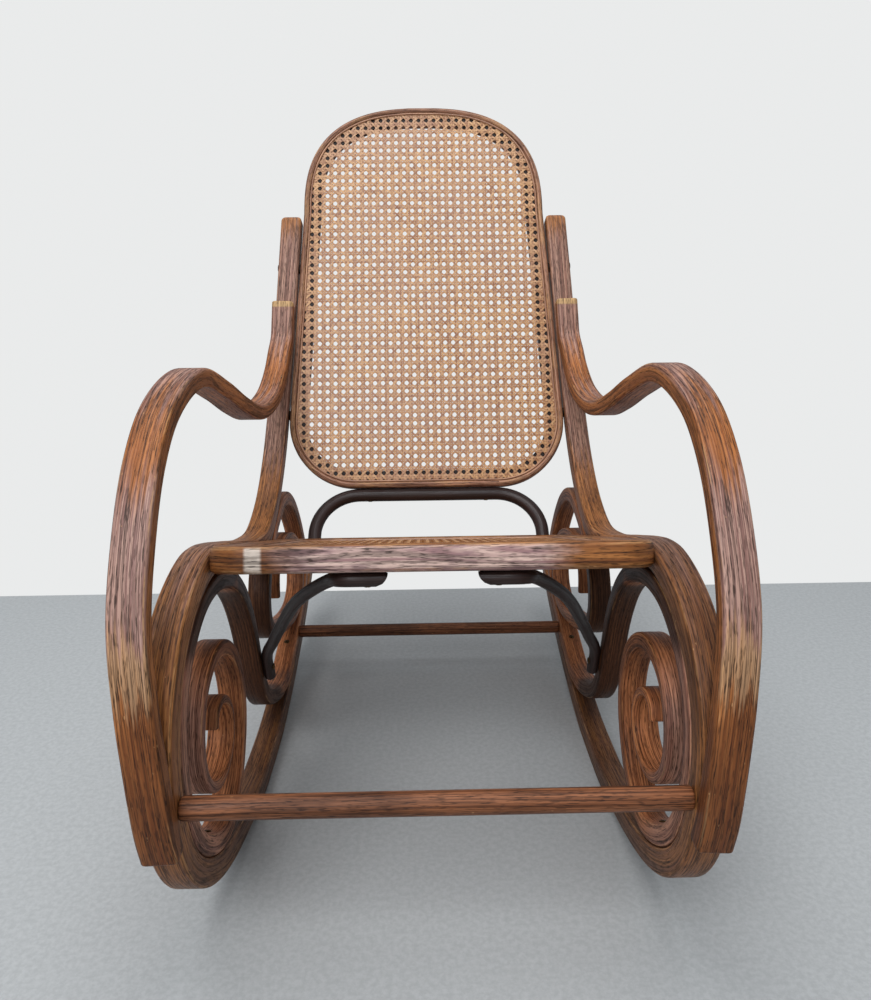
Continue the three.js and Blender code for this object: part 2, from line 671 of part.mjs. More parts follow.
sideFrames.forEach(({ side, sign, rail, scroll, arm }) => {
  const onFace = (place, depth, offset) => inSide(sign, offset,
    railPath[place].clone().addScaledVector(towardsRail(place), -depth));
  const inward = (place) => inSide(1, 0, towardsRail(place));
  const scrollFace = railThickness / 2 + nestGap + scrollThickness;

  const armHead = onRail(armHeadBoltShare);
  fasten(`arm_head_bolt_${side}`, boltKind,
    onFace(armHead, railThickness / 2, innerFace + armHeadShare * armWidth),
    inward(armHead), layers(railThickness), [rail, arm]);
  const armFoot = onRail(armFootBoltShare);
  fasten(`arm_foot_bolt_${side}`, boltKind, onFace(armFoot, scrollFace, scrollCentre),
    inward(armFoot), layers(scrollThickness, railThickness), [scroll, rail, arm]);

  Object.entries(nestShares).forEach(([place, share]) => {
    const i = onNest(share);
    fasten(`scroll_screw_${place}_${side}`, screwKind, onFace(i, scrollFace, scrollCentre),
      inward(i), layers(scrollThickness), [scroll, rail]);
  });
});

// Fasteners of the seat, the back and the thin rods

const seatBoltShares = { front: [-0.230, 0.3495], rear: [-0.050, 0.337] };
const panelBoltShares = { low: 0.19, high: 0.57 };
const braceFootScrewShare = [0.963, 0.900];
sideFrames.forEach(({ side, sign, rail, scroll }, i) => {
  const inwards = new THREE.Vector3(-sign, 0, 0);
  Object.entries(seatBoltShares).forEach(([place, share]) => fasten(
    `seat_bolt_${place}_${side}`, boltKind,
    inSide(sign, innerFace + railWidth, sidePoints([share])[0]),
    inwards, railWidth + fitGap + biteDepth, [rail, seat.frame]));

  const square = new THREE.Vector3(-sign, 0, -uprightLean).normalize();
  Object.entries(panelBoltShares).forEach(([place, share]) => {
    const at = inPanel(0, share * panelHeight, 0);
    at.x = sign * (innerFace + railWidth - leanAt(at.z));
    fasten(`back_bolt_${place}_${side}`, boltKind, at, square,
      railWidth + panelAir + panelBite, [rail, panel.frame]);
    const [bore, rim] = [boltShankDiameter / 2 + fitGap, spacerDiameter / 2];
    const [start, end] = [railWidth + fitGap, railWidth + panelAir - fitGap];
    const spacer = piece(`back_spacer_${place}_${side}`, turned(
      [[bore, start], [rim, start], [rim, end], [bore, end], [bore, start]], 16), agedBrass);
    spacer.position.copy(at);
    spacer.quaternion.setFromUnitVectors(new THREE.Vector3(0, 1, 0), square);
  });

  const braceTop = braceStart.clone().setX(sign * braceScrewShare * innerFace);
  const upwards = inSeat(0, 0, 1).sub(inSeat(0, 0, 0));
  fasten(`brace_seat_screw_${side}`, screwKind,
    braceTop.addScaledVector(upwards, spotDepth - braceDiameter / 2), upwards,
    braceDiameter - spotDepth + fitGap + seatBite, [braces[i], seat.frame]);
  const footScrew = onBrace(sign * braceFootX, ...braceFootScrewShare);
  fasten(`brace_scroll_screw_${side}`, screwKind,
    footScrew.addScaledVector(inwards, braceDiameter / 2 - spotDepth), inwards.clone().negate(),
    braceDiameter - spotDepth + fitGap + biteDepth, [braces[i], scroll]);

  const panelUp = inPanel(0, 1, 0).sub(inPanel(0, 0, 0));
  fasten(`hoop_screw_${side}`, screwKind,
    inPanel(sign * hoopScrewShare * hoopHalfWidth, spotDepth - hoopDiameter - fitGap, 0),
    panelUp, hoopDiameter - spotDepth + fitGap + hoopBite, [hoop, panel.frame]);
});

// The chair leans back to its balance, with its runners on the floor

chair.rotation.x = -restTilt;
const bounds = new THREE.Box3().setFromObject(chair, true);
const middle = bounds.getCenter(new THREE.Vector3());
chair.position.set(-middle.x, -middle.y, -bounds.min.z);

export default chair;
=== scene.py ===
import math

import bpy
import numpy as np
from mathutils import Matrix, Vector


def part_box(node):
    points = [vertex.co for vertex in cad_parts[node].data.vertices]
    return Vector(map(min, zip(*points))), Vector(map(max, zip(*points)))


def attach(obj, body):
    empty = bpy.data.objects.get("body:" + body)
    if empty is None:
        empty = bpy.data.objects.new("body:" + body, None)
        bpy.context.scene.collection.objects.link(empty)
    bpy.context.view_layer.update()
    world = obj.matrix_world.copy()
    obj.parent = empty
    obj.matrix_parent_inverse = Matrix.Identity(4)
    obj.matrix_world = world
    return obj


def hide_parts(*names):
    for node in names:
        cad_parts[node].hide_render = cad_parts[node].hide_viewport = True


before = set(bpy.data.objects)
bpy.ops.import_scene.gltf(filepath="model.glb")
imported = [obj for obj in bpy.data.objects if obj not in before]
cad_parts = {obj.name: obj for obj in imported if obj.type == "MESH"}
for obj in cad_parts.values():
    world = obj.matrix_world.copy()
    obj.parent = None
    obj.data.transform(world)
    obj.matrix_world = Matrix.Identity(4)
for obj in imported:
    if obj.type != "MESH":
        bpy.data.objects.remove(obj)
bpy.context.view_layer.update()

# Bentwood rocking chair. The pieces are laid out in millimetres in the CAD's side view (depth
# backwards, height upwards), which is then turned back by REST_TILT and put where the CAD stands.

SIDE_SPAN = 1000
FRAME_GAP = 455
RAIL_WIDTH, RAIL_THICKNESS = 32, 28
SCROLL_WIDTH, SCROLL_THICKNESS = 30, 22
CURL_THICKNESS, CURL_LENGTH = 10, 700
ARM_WIDTH, ARM_THICKNESS = 33, 21
WOOD_ROUND, END_ROUND, LONG_ROD_END_ROUND = 4, 3, 7
FIT_GAP, NEST_GAP = 0.3, 0.5
REST_TILT = math.radians(13)
REST_LENGTH = 36  # straight stretch of a runner where it stands on the floor
NEST_STRIDE = 26  # between the points of a rod that lies on another
UPRIGHT_LEAN, LEAN_BLEND = 0.063, 40
LEAN_START_SHARE, LEAN_FRONT_SHARE = 0.350, -0.020

SEAT_THICKNESS, SEAT_DEPTH, SEAT_RIM = 28, 460, 40
SEAT_FRONT_SHARE = (-0.350, 0.372)
SEAT_TILT = math.radians(5)
SEAT_FRONT_ROUND, SEAT_REAR_ROUND, LEAST_ROUND = 38, 95, 3
PANEL_HEIGHT, PANEL_THICKNESS, PANEL_RIM = 635, 22, 9
PANEL_FOOT_SHARE = (0.114, 0.408)
PANEL_TILT = math.radians(10.6)
PANEL_AIR = 2.5
PANEL_FOOT_ROUND, PANEL_SHOULDER, PANEL_ROUNDNESS = 105, 182, 2.6
TOP_FLAT_SHARE = 0.12
SEAT_EDGE_ROUNDS, PANEL_EDGE_ROUNDS = (6, 3), (6, 4)  # at the outer and the inner edges
LEDGE_WIDTH, CANE_INSET, CANE_THICKNESS = 18, 4, 1.4
BEAD_WIDTH, BEAD_HEIGHT = 3.2, 2
HOOP_DIAMETER, HOOP_HALF_WIDTH, HOOP_REAR_MARGIN = 20, 174, 35
HOOP_CORNER, HOOP_SOCKET = 68, 13
BRACE_DIAMETER, BRACE_END_SHARE = 15, 0.9
FRONT_STRETCHER, REAR_STRETCHER = 22, 21

CANE_PITCH = (12.5, 13.1)  # across and along the chair
CANE_START_SHARE = (0, 0.3)
PAIR_SPREAD = 1.6  # from the middle of a pair of strands to each strand
STRAND_WIDTH, STRAND_THICKNESS, STRAND_TOP_SHARE = 2.7, 0.7, 0.55
STRAND_MARGIN = 0.5  # least distance from a strand's end to its next bend
CROSSING_SHARE = 0.15  # half the length over which a diagonal strand stays up or down

INNER_FACE = FRAME_GAP / 2
RAIL_CENTRE = INNER_FACE + RAIL_WIDTH / 2
SCROLL_CENTRE = INNER_FACE + SCROLL_WIDTH / 2
SIDES = (("left", -1), ("right", 1))
MM = 0.001
PATH_STEP, ROD_STEP, THIN_ROD_STEP, RING_STEP = 3.6, 6, 5, 7
SPAN_SAMPLES = 24  # per span of a smooth path, before it is divided evenly
CORNER_STEPS, END_STEPS, BEAD_STEPS, STRETCHER_STEPS, PANEL_TOP_STEPS = 4, 4, 6, 59, 59
WOOD_CREASE, CANE_CREASE, METAL_CREASE = 38, 50, 35  # degrees from which an edge stays sharp
END_FACE = 2.0  # marks a rod's end grain, where 0 to 1 says how near a point is to an edge

across, upwards = np.array([1.0, 0, 0]), np.array([0, 0, 1.0])


# Paths

def side_points(shares):
    """Points of the side view from shares of SIDE_SPAN."""
    return np.array(shares, float) * SIDE_SPAN


def unit(vectors):
    return vectors / np.linalg.norm(vectors, axis=-1, keepdims=True)


def lengths_along(points):
    """How far along a line each of its points lies."""
    return np.concatenate([[0], np.cumsum(np.linalg.norm(np.diff(points, axis=0), axis=1))])


def evenly(points, step, closed=False):
    """The same line in equal steps of about this length."""
    if closed:
        points = np.vstack([points, points[:1]])
    lengths = lengths_along(points)
    count = max(2, round(lengths[-1] / step))
    places = np.linspace(0, lengths[-1], count + 1)
    even = np.stack([np.interp(places, lengths, c) for c in points.T], axis=1)
    return even[:-1] if closed else even


def smooth_path(points, step=PATH_STEP):
    """A centripetal curve through the points."""
    p = np.asarray(points, float)
    p = np.vstack([2 * p[0] - p[1], p, 2 * p[-1] - p[-2]])
    t = np.arange(SPAN_SAMPLES)[:, None] / SPAN_SAMPLES
    spans = []
    for a, b, c, d in zip(p, p[1:], p[2:], p[3:]):
        ab, bc, cd = (math.sqrt(np.linalg.norm(v)) for v in (b - a, c - b, d - c))
        leave = ((b - a) / ab - (c - a) / (ab + bc) + (c - b) / bc) * bc
        arrive = ((c - b) / bc - (d - b) / (bc + cd) + (d - c) / cd) * bc
        spans.append(b + leave * t + (3 * (c - b) - 2 * leave - arrive) * t**2
                     + (2 * (b - c) + leave + arrive) * t**3)
    return evenly(np.vstack([*spans, p[-2:-1]]), step)


def directions(path, closed=False):
    """Unit tangents of a line."""
    return unit(np.roll(path, -1, axis=0) - np.roll(path, 1, axis=0) if closed
                else np.gradient(path, axis=0))


def left_normals(path):
    along = directions(path)
    return np.stack([-along[:, 1], along[:, 0]], axis=1)


def shifted(path, distance):
    return path + left_normals(path) * distance


def nearest(path, share):
    return int(np.argmin(np.linalg.norm(path - side_points([share])[0], axis=1)))


def stretch_of(path, end_shares):
    """Points a stride apart on the stretch of a path between two places."""
    first, last = (nearest(path, share) for share in end_shares)
    strides = max(1, round(np.linalg.norm(path[last] - path[first]) / NEST_STRIDE))
    return path[[round(first + (last - first) * i / strides) for i in range(strides + 1)]]


def lean_at(height):
    """How far inwards an upright stands at a height."""
    rise = np.maximum(height - LEAN_START_SHARE * SIDE_SPAN, 0)
    return UPRIGHT_LEAN * np.where(rise < LEAN_BLEND, rise**2 / (2 * LEAN_BLEND),
                                   rise - LEAN_BLEND / 2)


contact = side_points([[0.007, 0.0338]])[0]
along_floor = np.array([math.cos(REST_TILT), math.sin(REST_TILT)])
contact_ends = [contact + end * REST_LENGTH / 2 * along_floor for end in (-1, 1)]
RAIL_TOP_SHARES = [
    [0.1925, 0.845], [0.183, 0.780], [0.165, 0.660], [0.137, 0.540], [0.104, 0.447],
    [0.059, 0.383], [-0.002, 0.346], [-0.080, 0.338], [-0.165, 0.344], [-0.238, 0.350],
    [-0.275, 0.351], [-0.310, 0.347], [-0.352, 0.331], [-0.392, 0.305], [-0.422, 0.270],
    [-0.439, 0.232], [-0.443, 0.190], [-0.434, 0.143], [-0.414, 0.101], [-0.385, 0.067],
    [-0.347, 0.042], [-0.300, 0.025], [-0.245, 0.016], [-0.160, 0.014], [-0.070, 0.0185],
    [-0.030, 0.0258],
]
RUNNER_SHARES = [
    [0.060, 0.0474], [0.110, 0.0655], [0.180, 0.096],
    [0.250, 0.131], [0.320, 0.172], [0.380, 0.212], [0.432, 0.252], [0.468, 0.284],
]
rail_path = np.vstack([smooth_path([*side_points(RAIL_TOP_SHARES), contact_ends[0]]),
                       smooth_path([contact_ends[1], *side_points(RUNNER_SHARES)])])

nest_path = shifted(rail_path, (RAIL_THICKNESS + SCROLL_THICKNESS) / 2 + NEST_GAP)
FRONT_SPIRAL_SHARES = [
    [-0.303, 0.173], [-0.298, 0.189], [-0.280, 0.1965], [-0.258, 0.192], [-0.241, 0.177],
    [-0.234, 0.154], [-0.244, 0.131], [-0.268, 0.1155], [-0.298, 0.112], [-0.326, 0.122],
    [-0.346, 0.142], [-0.355, 0.168], [-0.353, 0.198], [-0.340, 0.224], [-0.315, 0.243],
    [-0.278, 0.252], [-0.240, 0.245], [-0.207, 0.224], [-0.185, 0.190], [-0.179, 0.150],
    [-0.189, 0.112], [-0.209, 0.079], [-0.237, 0.056], [-0.268, 0.047],
]
BOW_NEST_SHARES = [[-0.298, 0.052], [-0.398, 0.262]]
ARCH_FRONT_SHARES = [[-0.372, 0.289], [-0.338, 0.311], [-0.300, 0.3225]]
ARCH_SHARE = [-0.262, 0.3255]
LOW_BEND_SHARES = [
    [-0.220, 0.320], [-0.187, 0.309], [-0.156, 0.290], [-0.129, 0.264], [-0.106, 0.234],
    [-0.087, 0.200], [-0.067, 0.166], [-0.043, 0.138], [-0.013, 0.119], [0.025, 0.108],
    [0.065, 0.102], [0.102, 0.102], [0.145, 0.108],
]
RUNNER_NEST_SHARES = [[0.190, 0.126], [0.270, 0.173]]
REAR_LOOP_SHARES = [
    [0.304, 0.193], [0.331, 0.215], [0.350, 0.246], [0.346, 0.281], [0.318, 0.314],
    [0.276, 0.350], [0.226, 0.379], [0.175, 0.392], [0.132, 0.388], [0.099, 0.374],
]
UPRIGHT_NEST_SHARES = [[0.070, 0.357], [0.042, 0.338]]
REAR_CURL_SHARES = [
    [0.006, 0.297], [-0.007, 0.262], [-0.004, 0.232], [0.013, 0.212], [0.042, 0.201],
    [0.090, 0.195], [0.150, 0.190], [0.215, 0.190], [0.268, 0.200], [0.298, 0.222],
    [0.307, 0.250], [0.297, 0.279], [0.274, 0.301], [0.244, 0.317], [0.205, 0.327],
    [0.155, 0.329], [0.112, 0.320], [0.083, 0.300], [0.070, 0.274], [0.070, 0.245],
]
scroll_path = smooth_path([
    *side_points(FRONT_SPIRAL_SHARES), *stretch_of(nest_path, BOW_NEST_SHARES),
    *side_points(ARCH_FRONT_SHARES), nest_path[nearest(nest_path, ARCH_SHARE)],
    *side_points(LOW_BEND_SHARES), *stretch_of(nest_path, RUNNER_NEST_SHARES),
    *side_points(REAR_LOOP_SHARES), *stretch_of(nest_path, UPRIGHT_NEST_SHARES),
    *side_points(REAR_CURL_SHARES),
])

arm_nest_path = shifted(rail_path, -(RAIL_THICKNESS + ARM_THICKNESS) / 2 - NEST_GAP)


def arm_nested(end_shares, out_shares):
    points = stretch_of(arm_nest_path, end_shares)
    out = INNER_FACE + SIDE_SPAN * np.linspace(*out_shares, len(points))
    return np.column_stack([out, points])


# depth, height, and the arm's centre outwards of the side frame's inner face
ARM_SHARES = [
    [-0.470, 0.200, 0.0175], [-0.472, 0.250, 0.022], [-0.465, 0.318, 0.028],
    [-0.445, 0.393, 0.028], [-0.413, 0.455, 0.028], [-0.371, 0.502, 0.0265],
    [-0.270, 0.5435, 0.0265], [-0.180, 0.538, 0.022], [-0.110, 0.5255, 0.017],
    [-0.050, 0.520, 0.0125], [0.000, 0.528, 0.0085], [0.050, 0.551, 0.004],
    [0.090, 0.586, 0.001], [0.115, 0.616, 0],
]
arm_bow = side_points(ARM_SHARES)
arm_path = smooth_path(np.vstack([
    arm_nested([[-0.451, 0.113], [-0.469, 0.172]], [0.0125, 0.0155]),
    np.column_stack([INNER_FACE + arm_bow[:, 2], arm_bow[:, :2]]),
    arm_nested([[0.129, 0.6455], [0.141, 0.7045]], [-0.0014, -0.0032]),
]))


# Places

def turned_up(points, angle):
    """Points turned about the X axis."""
    x, y, z = np.moveaxis(np.asarray(points, float), -1, 0)
    return np.stack([x, y * math.cos(angle) - z * math.sin(angle),
                     y * math.sin(angle) + z * math.cos(angle)], axis=-1)


seat_front, panel_foot = side_points([SEAT_FRONT_SHARE, PANEL_FOOT_SHARE])
seat_origin = np.array([0, seat_front[0], seat_front[1] - SEAT_THICKNESS / 2])


def in_seat(points):
    return turned_up(points, -SEAT_TILT) + seat_origin


def in_panel(points):
    return turned_up(points, math.pi / 2 - PANEL_TILT) + (0, *panel_foot)


seat_cane_middle = in_seat([0, SEAT_DEPTH / 2,
                            SEAT_THICKNESS / 2 - CANE_INSET - CANE_THICKNESS / 2])
cane_low, cane_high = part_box("seat_cane")
stand = np.array(cane_low + cane_high) / 2 / MM - turned_up(seat_cane_middle, -REST_TILT)


def on_floor(points):
    """Side view millimetres to the frame's metres."""
    return (turned_up(points, -REST_TILT) + stand) * MM


# Meshes

def shown(name, data):
    """A mesh, lamp or camera as an object of the scene."""
    made = bpy.data.objects.new(name, data)
    bpy.context.scene.collection.objects.link(made)
    return made


def store(mesh, name, values, domain="POINT"):
    """Keeps a number or a vector for each point or face corner of a mesh."""
    values = np.asarray(values, np.float32)
    kind, field = ("FLOAT_VECTOR", "vector") if values.ndim == 2 else ("FLOAT", "value")
    mesh.attributes.new(name, kind, domain).data.foreach_set(field, values.ravel())


def smoothed(mesh, crease):
    mesh.shade_smooth()
    mesh.set_sharp_from_angle(angle=math.radians(crease))


def lofted(name, rings, material, along, across_up, edge, closed=False):
    """Joins rings of points into one closed solid. `along` is each ring's place along the piece
    and `across_up` each point's place in the section."""
    count, around = rings.shape[:2]
    faces = [[(i, j), (i, j + 1), (i + 1, j + 1), (i + 1, j)]
             for i in range(count if closed else count - 1) for j in range(around)]
    sides = len(faces)
    if not closed:
        faces += [[(0, j) for j in reversed(range(around))],
                  [(count - 1, j) for j in range(around)]]
    ring, next_ring = rings[count // 2], rings[count // 2 + 1]
    face_normal = np.cross(ring[1] - ring[0], next_ring[1] - ring[1])
    if face_normal @ (ring[0] - ring.mean(axis=0)) < 0:  # the faces look inwards
        faces = [face[::-1] for face in faces]
    grain = [(*across_up[j % around], along[i]) for face in faces for i, j in face]
    edges = [edge[j % around] for face in faces[:sides] for _, j in face]
    edges += [END_FACE] * (len(grain) - len(edges))
    mesh = bpy.data.meshes.new(name)
    mesh.from_pydata(on_floor(rings).reshape(-1, 3).tolist(), [], [
        [(i % count) * around + j % around for i, j in face] for face in faces])
    store(mesh, "grain", np.array(grain) * MM, "CORNER")
    store(mesh, "edge", edges, "CORNER")
    smoothed(mesh, WOOD_CREASE)
    mesh.materials.append(material)
    return shown(name, mesh)


def section(width, thicknesses, rounding):
    """The points of a rounded section for each thickness, and how near each is to an edge."""
    rounding = min(rounding, width / 2, *(np.asarray(thicknesses) / 2))
    turn = (np.arange(CORNER_STEPS + 1) / CORNER_STEPS) * np.pi / 2
    quarters = np.arange(4) * np.pi / 2
    angle = np.concatenate([quarter + turn for quarter in quarters])
    middle = np.repeat(np.pi / 4 + quarters, CORNER_STEPS + 1)
    corner = np.stack([np.sign(np.cos(middle)), np.sign(np.sin(middle))], axis=1)
    sizes = np.column_stack([np.full(len(thicknesses), width), thicknesses]) / 2
    bend = np.stack([np.cos(angle), np.sin(angle)], axis=1)
    outlines = corner * (sizes - rounding)[:, None] + bend * rounding
    nearness = np.tile(np.sin(2 * turn), 4)
    return outlines, nearness if rounding < width / 2 else np.zeros(len(angle))


def bent_rod(name, path, width, thickness_at, material, rounding=WOOD_ROUND, side=across,
             reshape=None, end_round=END_ROUND):
    """A rod along a path in space, with rounded ends. Its width lies along `side`."""
    path = evenly(path, max(ROD_STEP, end_round + 1))
    turn = np.linspace(0, np.pi / 2, END_STEPS + 1)
    back = end_round * (1 - np.cos(turn))[:, None]
    ends = [path[0] + back * unit(path[1] - path[0]),
            path[-1] + back[::-1] * unit(path[-2] - path[-1])]
    inset = end_round * (1 - np.sin(turn))
    insets = np.concatenate([inset, np.zeros(len(path) - 2), inset[::-1]])
    path = np.vstack([ends[0], path[1:-1], ends[1]])
    along = lengths_along(path)
    tangent = directions(path)
    wide = unit(side - tangent * (tangent @ side)[:, None])
    high = np.cross(tangent, wide)
    outlines, edge = section(width, thickness_at(along), rounding)
    full = outlines[len(outlines) // 2]
    half = np.abs(outlines).max(axis=1)
    outlines = outlines * ((half - insets[:, None]) / half)[:, None]
    rings = (path[:, None] + outlines[..., :1] * wide[:, None]
             + outlines[..., 1:] * high[:, None])
    if reshape is not None:
        rings = reshape(rings)
    return lofted(name, rings, material, along, full, edge)


def even_thickness(thickness):
    return lambda along: np.full(len(along), float(thickness))


def round_rod(name, path, diameter, material, side, reshape=None):
    return bent_rod(name, path, diameter, even_thickness(diameter), material, diameter / 2,
                    side, reshape)


def framed(name, outline_at, profile, place, material, edge_at):
    """A closed ring whose section is a profile of (distance inwards, height) points."""
    outlines = [outline_at(inwards) for inwards, _ in profile]
    rings = np.stack([np.column_stack([outline, np.full(len(outline), height)])
                      for outline, (_, height) in zip(outlines, profile)], axis=1)
    along = lengths_along(np.vstack([outlines[0], outlines[0][:1]]))
    return lofted(name, place(rings), material, along, np.array(profile),
                  [edge_at(*point) for point in profile], closed=True)


# Nodes

class Wire:
    """An output socket that can be used in Python expressions."""

    def __init__(self, paint, socket):
        self.paint, self.socket = paint, socket

    def _math(self, operation, *terms):
        return self.paint.node("ShaderNodeMath", dict(enumerate(terms)), operation=operation)

    def __add__(self, other): return self._math("ADD", self, other)
    def __sub__(self, other): return self._math("SUBTRACT", self, other)
    def __rsub__(self, other): return self._math("SUBTRACT", other, self)
    def __mul__(self, other): return self._math("MULTIPLY", self, other)
    def __pow__(self, other): return self._math("POWER", self, other)
    def absolute(self): return self._math("ABSOLUTE", self)
    def least(self, other): return self._math("MINIMUM", self, other)
    def most(self, other): return self._math("MAXIMUM", self, other)

    def between(self, low, high):
        """0 below low, 1 above high, and smooth between them."""
        return self.paint.node("ShaderNodeMapRange", {
            "Value": self, "From Min": low, "From Max": high}, interpolation_type="SMOOTHSTEP")

    def band(self, start, full, fading, end):
        """0 outside start and end, 1 from full to fading."""
        return self.between(start, full) * (1 - self.between(fading, end))


def feed(tree, node, values):
    """Gives a node's inputs values, or joins them to an output, or to a node's first output."""
    for key, value in values.items():
        if isinstance(value, bpy.types.Node):
            value = value.outputs[0]
        elif isinstance(value, Wire):
            value = value.socket
        if isinstance(value, bpy.types.NodeSocket):
            tree.links.new(value, node.inputs[key])
        else:
            node.inputs[key].default_value = value


def add(tree, kind, values=None, **settings):
    made = tree.nodes.new(kind)
    for key, value in settings.items():
        setattr(made, key, value)
    feed(tree, made, values or {})
    return made


def colour(*rgb):
    """An opaque colour from its usual 0 to 255 values."""
    return (*(v / 12.92 if v <= 0.04045 else ((v + 0.055) / 1.055) ** 2.4
              for v in (value / 255 for value in rgb)), 1.0)


class Paint:
    """One material and its nodes."""

    def __init__(self, name):
        self.material = bpy.data.materials.new(name)
        self.material.use_nodes = True
        self.tree = self.material.node_tree

    def node(self, kind, values=None, output=0, **settings):
        return Wire(self, add(self.tree, kind, values, **settings).outputs[output])

    def finish(self, **values):
        feed(self.tree, self.tree.nodes["Principled BSDF"],
             {key.replace("_", " "): value for key, value in values.items()})
        return self.material

    def attribute(self, name, output="Fac"):
        return self.node("ShaderNodeAttribute", output=output, attribute_name=name)

    def place(self, axis=None):
        """A point of the chair in the frame, or one of its coordinates."""
        place = self.node("ShaderNodeTexCoord", output="Object")
        return self.axis(place, axis) if axis else place

    def grain(self, axis=None):
        """The place in a piece of wood: across, up and along it, in metres."""
        place = self.attribute("grain", "Vector")
        return self.axis(place, axis) if axis else place

    def stretched(self, vector, scale):
        return self.node("ShaderNodeVectorMath", {0: vector, 1: scale}, operation="MULTIPLY")

    def moved(self, vector, other):
        return self.node("ShaderNodeVectorMath", {0: vector, 1: other}, operation="ADD")

    def noise(self, vector, scale, detail, roughness=0.5):
        """Noise over a place that is first stretched by a scale for each axis."""
        return self.node("ShaderNodeTexNoise", {
            "Vector": self.stretched(vector, scale), "Scale": 1.0, "Detail": detail,
            "Roughness": roughness}, noise_dimensions="3D")

    def mix(self, share, first, second):
        first, second = (c if isinstance(c, Wire) else colour(*c) for c in (first, second))
        return self.node("ShaderNodeMix", {0: share, 6: first, 7: second}, output=2,
                         data_type="RGBA")

    def axis(self, vector, name):
        return self.node("ShaderNodeSeparateXYZ", {0: vector}, output=name)

    def bump(self, height, depth, strength=1.0):
        return self.node("ShaderNodeBump", {
            "Height": height, "Distance": depth, "Strength": strength})


# colours are red, green and blue, from 0 to 255
# the last colour is painted shade for the ledges under the cane
WORN_BROWN, PORE_BROWN, END_TAN, LEDGE_SHADE = (
    (206, 158, 108), (34, 17, 9), (176, 150, 124), (26, 15, 10))
TREE_HEART = (-0.034, 0.021)  # where the growth rings' middle lies beside a rod, in metres
# heights over the floor at which a band starts, is full, fades and ends: the first is a painted
# sheen on the arms' fronts, the second a band of wear
SHEEN_BAND, BARE_BAND = (0.36, 0.41, 0.48, 0.53), (0.325, 0.355, 0.375, 0.40)
PALE_PATCH = 0.177  # left of the chair's middle


def stained_wood(name, light, middle, dark, worn=WORN_BROWN, wear=0.5, seed=0.0, gloss=0.22,
                 local=None):
    """Stained bentwood: growth rings along the bend, dark open pores and edges rubbed lighter."""
    paint = Paint(name)
    offset = (seed, seed * 1.7, seed * 2.3)
    grain = paint.moved(paint.grain(), offset)
    x, y, along = (paint.axis(grain, axis) for axis in "XYZ")
    wobble = paint.noise(grain, (14, 14, 4), 1) * 0.012
    away_x, away_y = (value - (start + heart) + wobble
                      for value, start, heart in zip((x, y), offset, TREE_HEART))
    from_heart = (away_x**2 + away_y**2) ** 0.5
    ring_place = paint.node("ShaderNodeCombineXYZ", {0: from_heart, 1: x * 0.22, 2: along})
    rings = paint.noise(ring_place, (520, 520, 4), 1.5, 0.6)
    lines = paint.noise(ring_place, (1100, 1100, 13), 1.5, 0.6)
    dashes = paint.noise(grain, (900, 900, 90), 1)
    clouds = paint.noise(grain, (16, 16, 7), 3, 0.6)
    body = paint.mix(rings.between(0.38, 0.62), middle, light)
    body = paint.mix(clouds.between(0.46, 0.66) * 0.5, body, dark)
    if local is not None:
        body = local(paint, body, rings)
    rubbed = paint.noise(grain, (60, 60, 14), 3, 0.7)
    edge = paint.attribute("edge")
    edges = edge.between(0.75, 1.0) * rubbed.between(0.46, 0.60)
    body = paint.mix(edges * wear, body, worn)
    pores = (lines.between(0.48, 0.60) * 0.62 + dashes.between(0.52, 0.66) * 0.55).least(1.0)
    body = paint.mix(pores * 0.88, body, PORE_BROWN)
    nicks = paint.noise(grain, (420, 420, 200), 0.0)
    body = paint.mix(nicks.between(0.83, 0.87) * 0.4, body, worn)
    body = paint.mix(edge.between(1.2, 1.8) * 0.8, body, END_TAN)
    return paint.finish(
        Base_Color=body, Roughness=rings * 0.14 + pores * 0.14 + 0.34,
        Specular_IOR_Level=gloss, Normal=paint.bump(1 - pores, 0.0003, 0.45))


def painted_ledge_shade(rim):
    """Painted shade: darkens the side of the ledge that the cane lies on."""
    def shade(paint, body, rings):
        ledge = (paint.grain("X").between(rim * MM, (rim + 1) * MM)
                 * paint.grain("Y").between(0, MM))
        return paint.mix(ledge, body, LEDGE_SHADE)
    return shade


def seat_front_sheen_and_shade(paint, body, rings):
    """The seat's front rail: a painted sheen, pale and pinkish, across the middle of its front, a
    pale patch left of the middle, and painted shade on its ledge.
    """
    x = paint.place("X")
    ragged = paint.noise(paint.place(), (22, 1, 60), 3, 0.7)
    rail_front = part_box("seat_frame")[0].y
    front = (paint.place("Y").between(rail_front + 0.022, rail_front + 0.010)
             * paint.grain("Y").between(0.0135, 0.0105))
    middle = ((x + 0.010).absolute() + ragged * 0.05).between(0.185, 0.140) * front
    # painted sheen, pale and pinkish, over the middle of the front
    front_sheen = paint.mix(rings.between(0.36, 0.60), (160, 124, 124), (226, 196, 184))
    front_sheen = paint.mix(ragged.between(0.50, 0.66) * 0.6, front_sheen, (132, 104, 112))
    body = paint.mix(middle * 0.85, body, front_sheen)
    patch = ((x + PALE_PATCH).absolute().between(0.010, 0.006) * front
             * ragged.between(0.28, 0.40))
    body = paint.mix(patch * 0.9, body, (208, 194, 180))
    return painted_ledge_shade(SEAT_RIM)(paint, body, rings)


def painted_sheen(paint, body, rings, share):
    """A painted sheen: wood mixed towards a pale, pinkish tone where it would reflect a bright
    sky.
    """
    pale = paint.mix(rings.between(0.38, 0.62), (140, 112, 110), (186, 160, 154))
    return paint.mix(share, body, pale)


def ragged_height(paint):
    """Height over the floor, blurred along the grain so that a band has no straight edge."""
    fringe = paint.noise(paint.grain(), (260, 260, 12), 2, 0.6)
    return paint.place("Z") + (fringe - 0.5) * 0.10


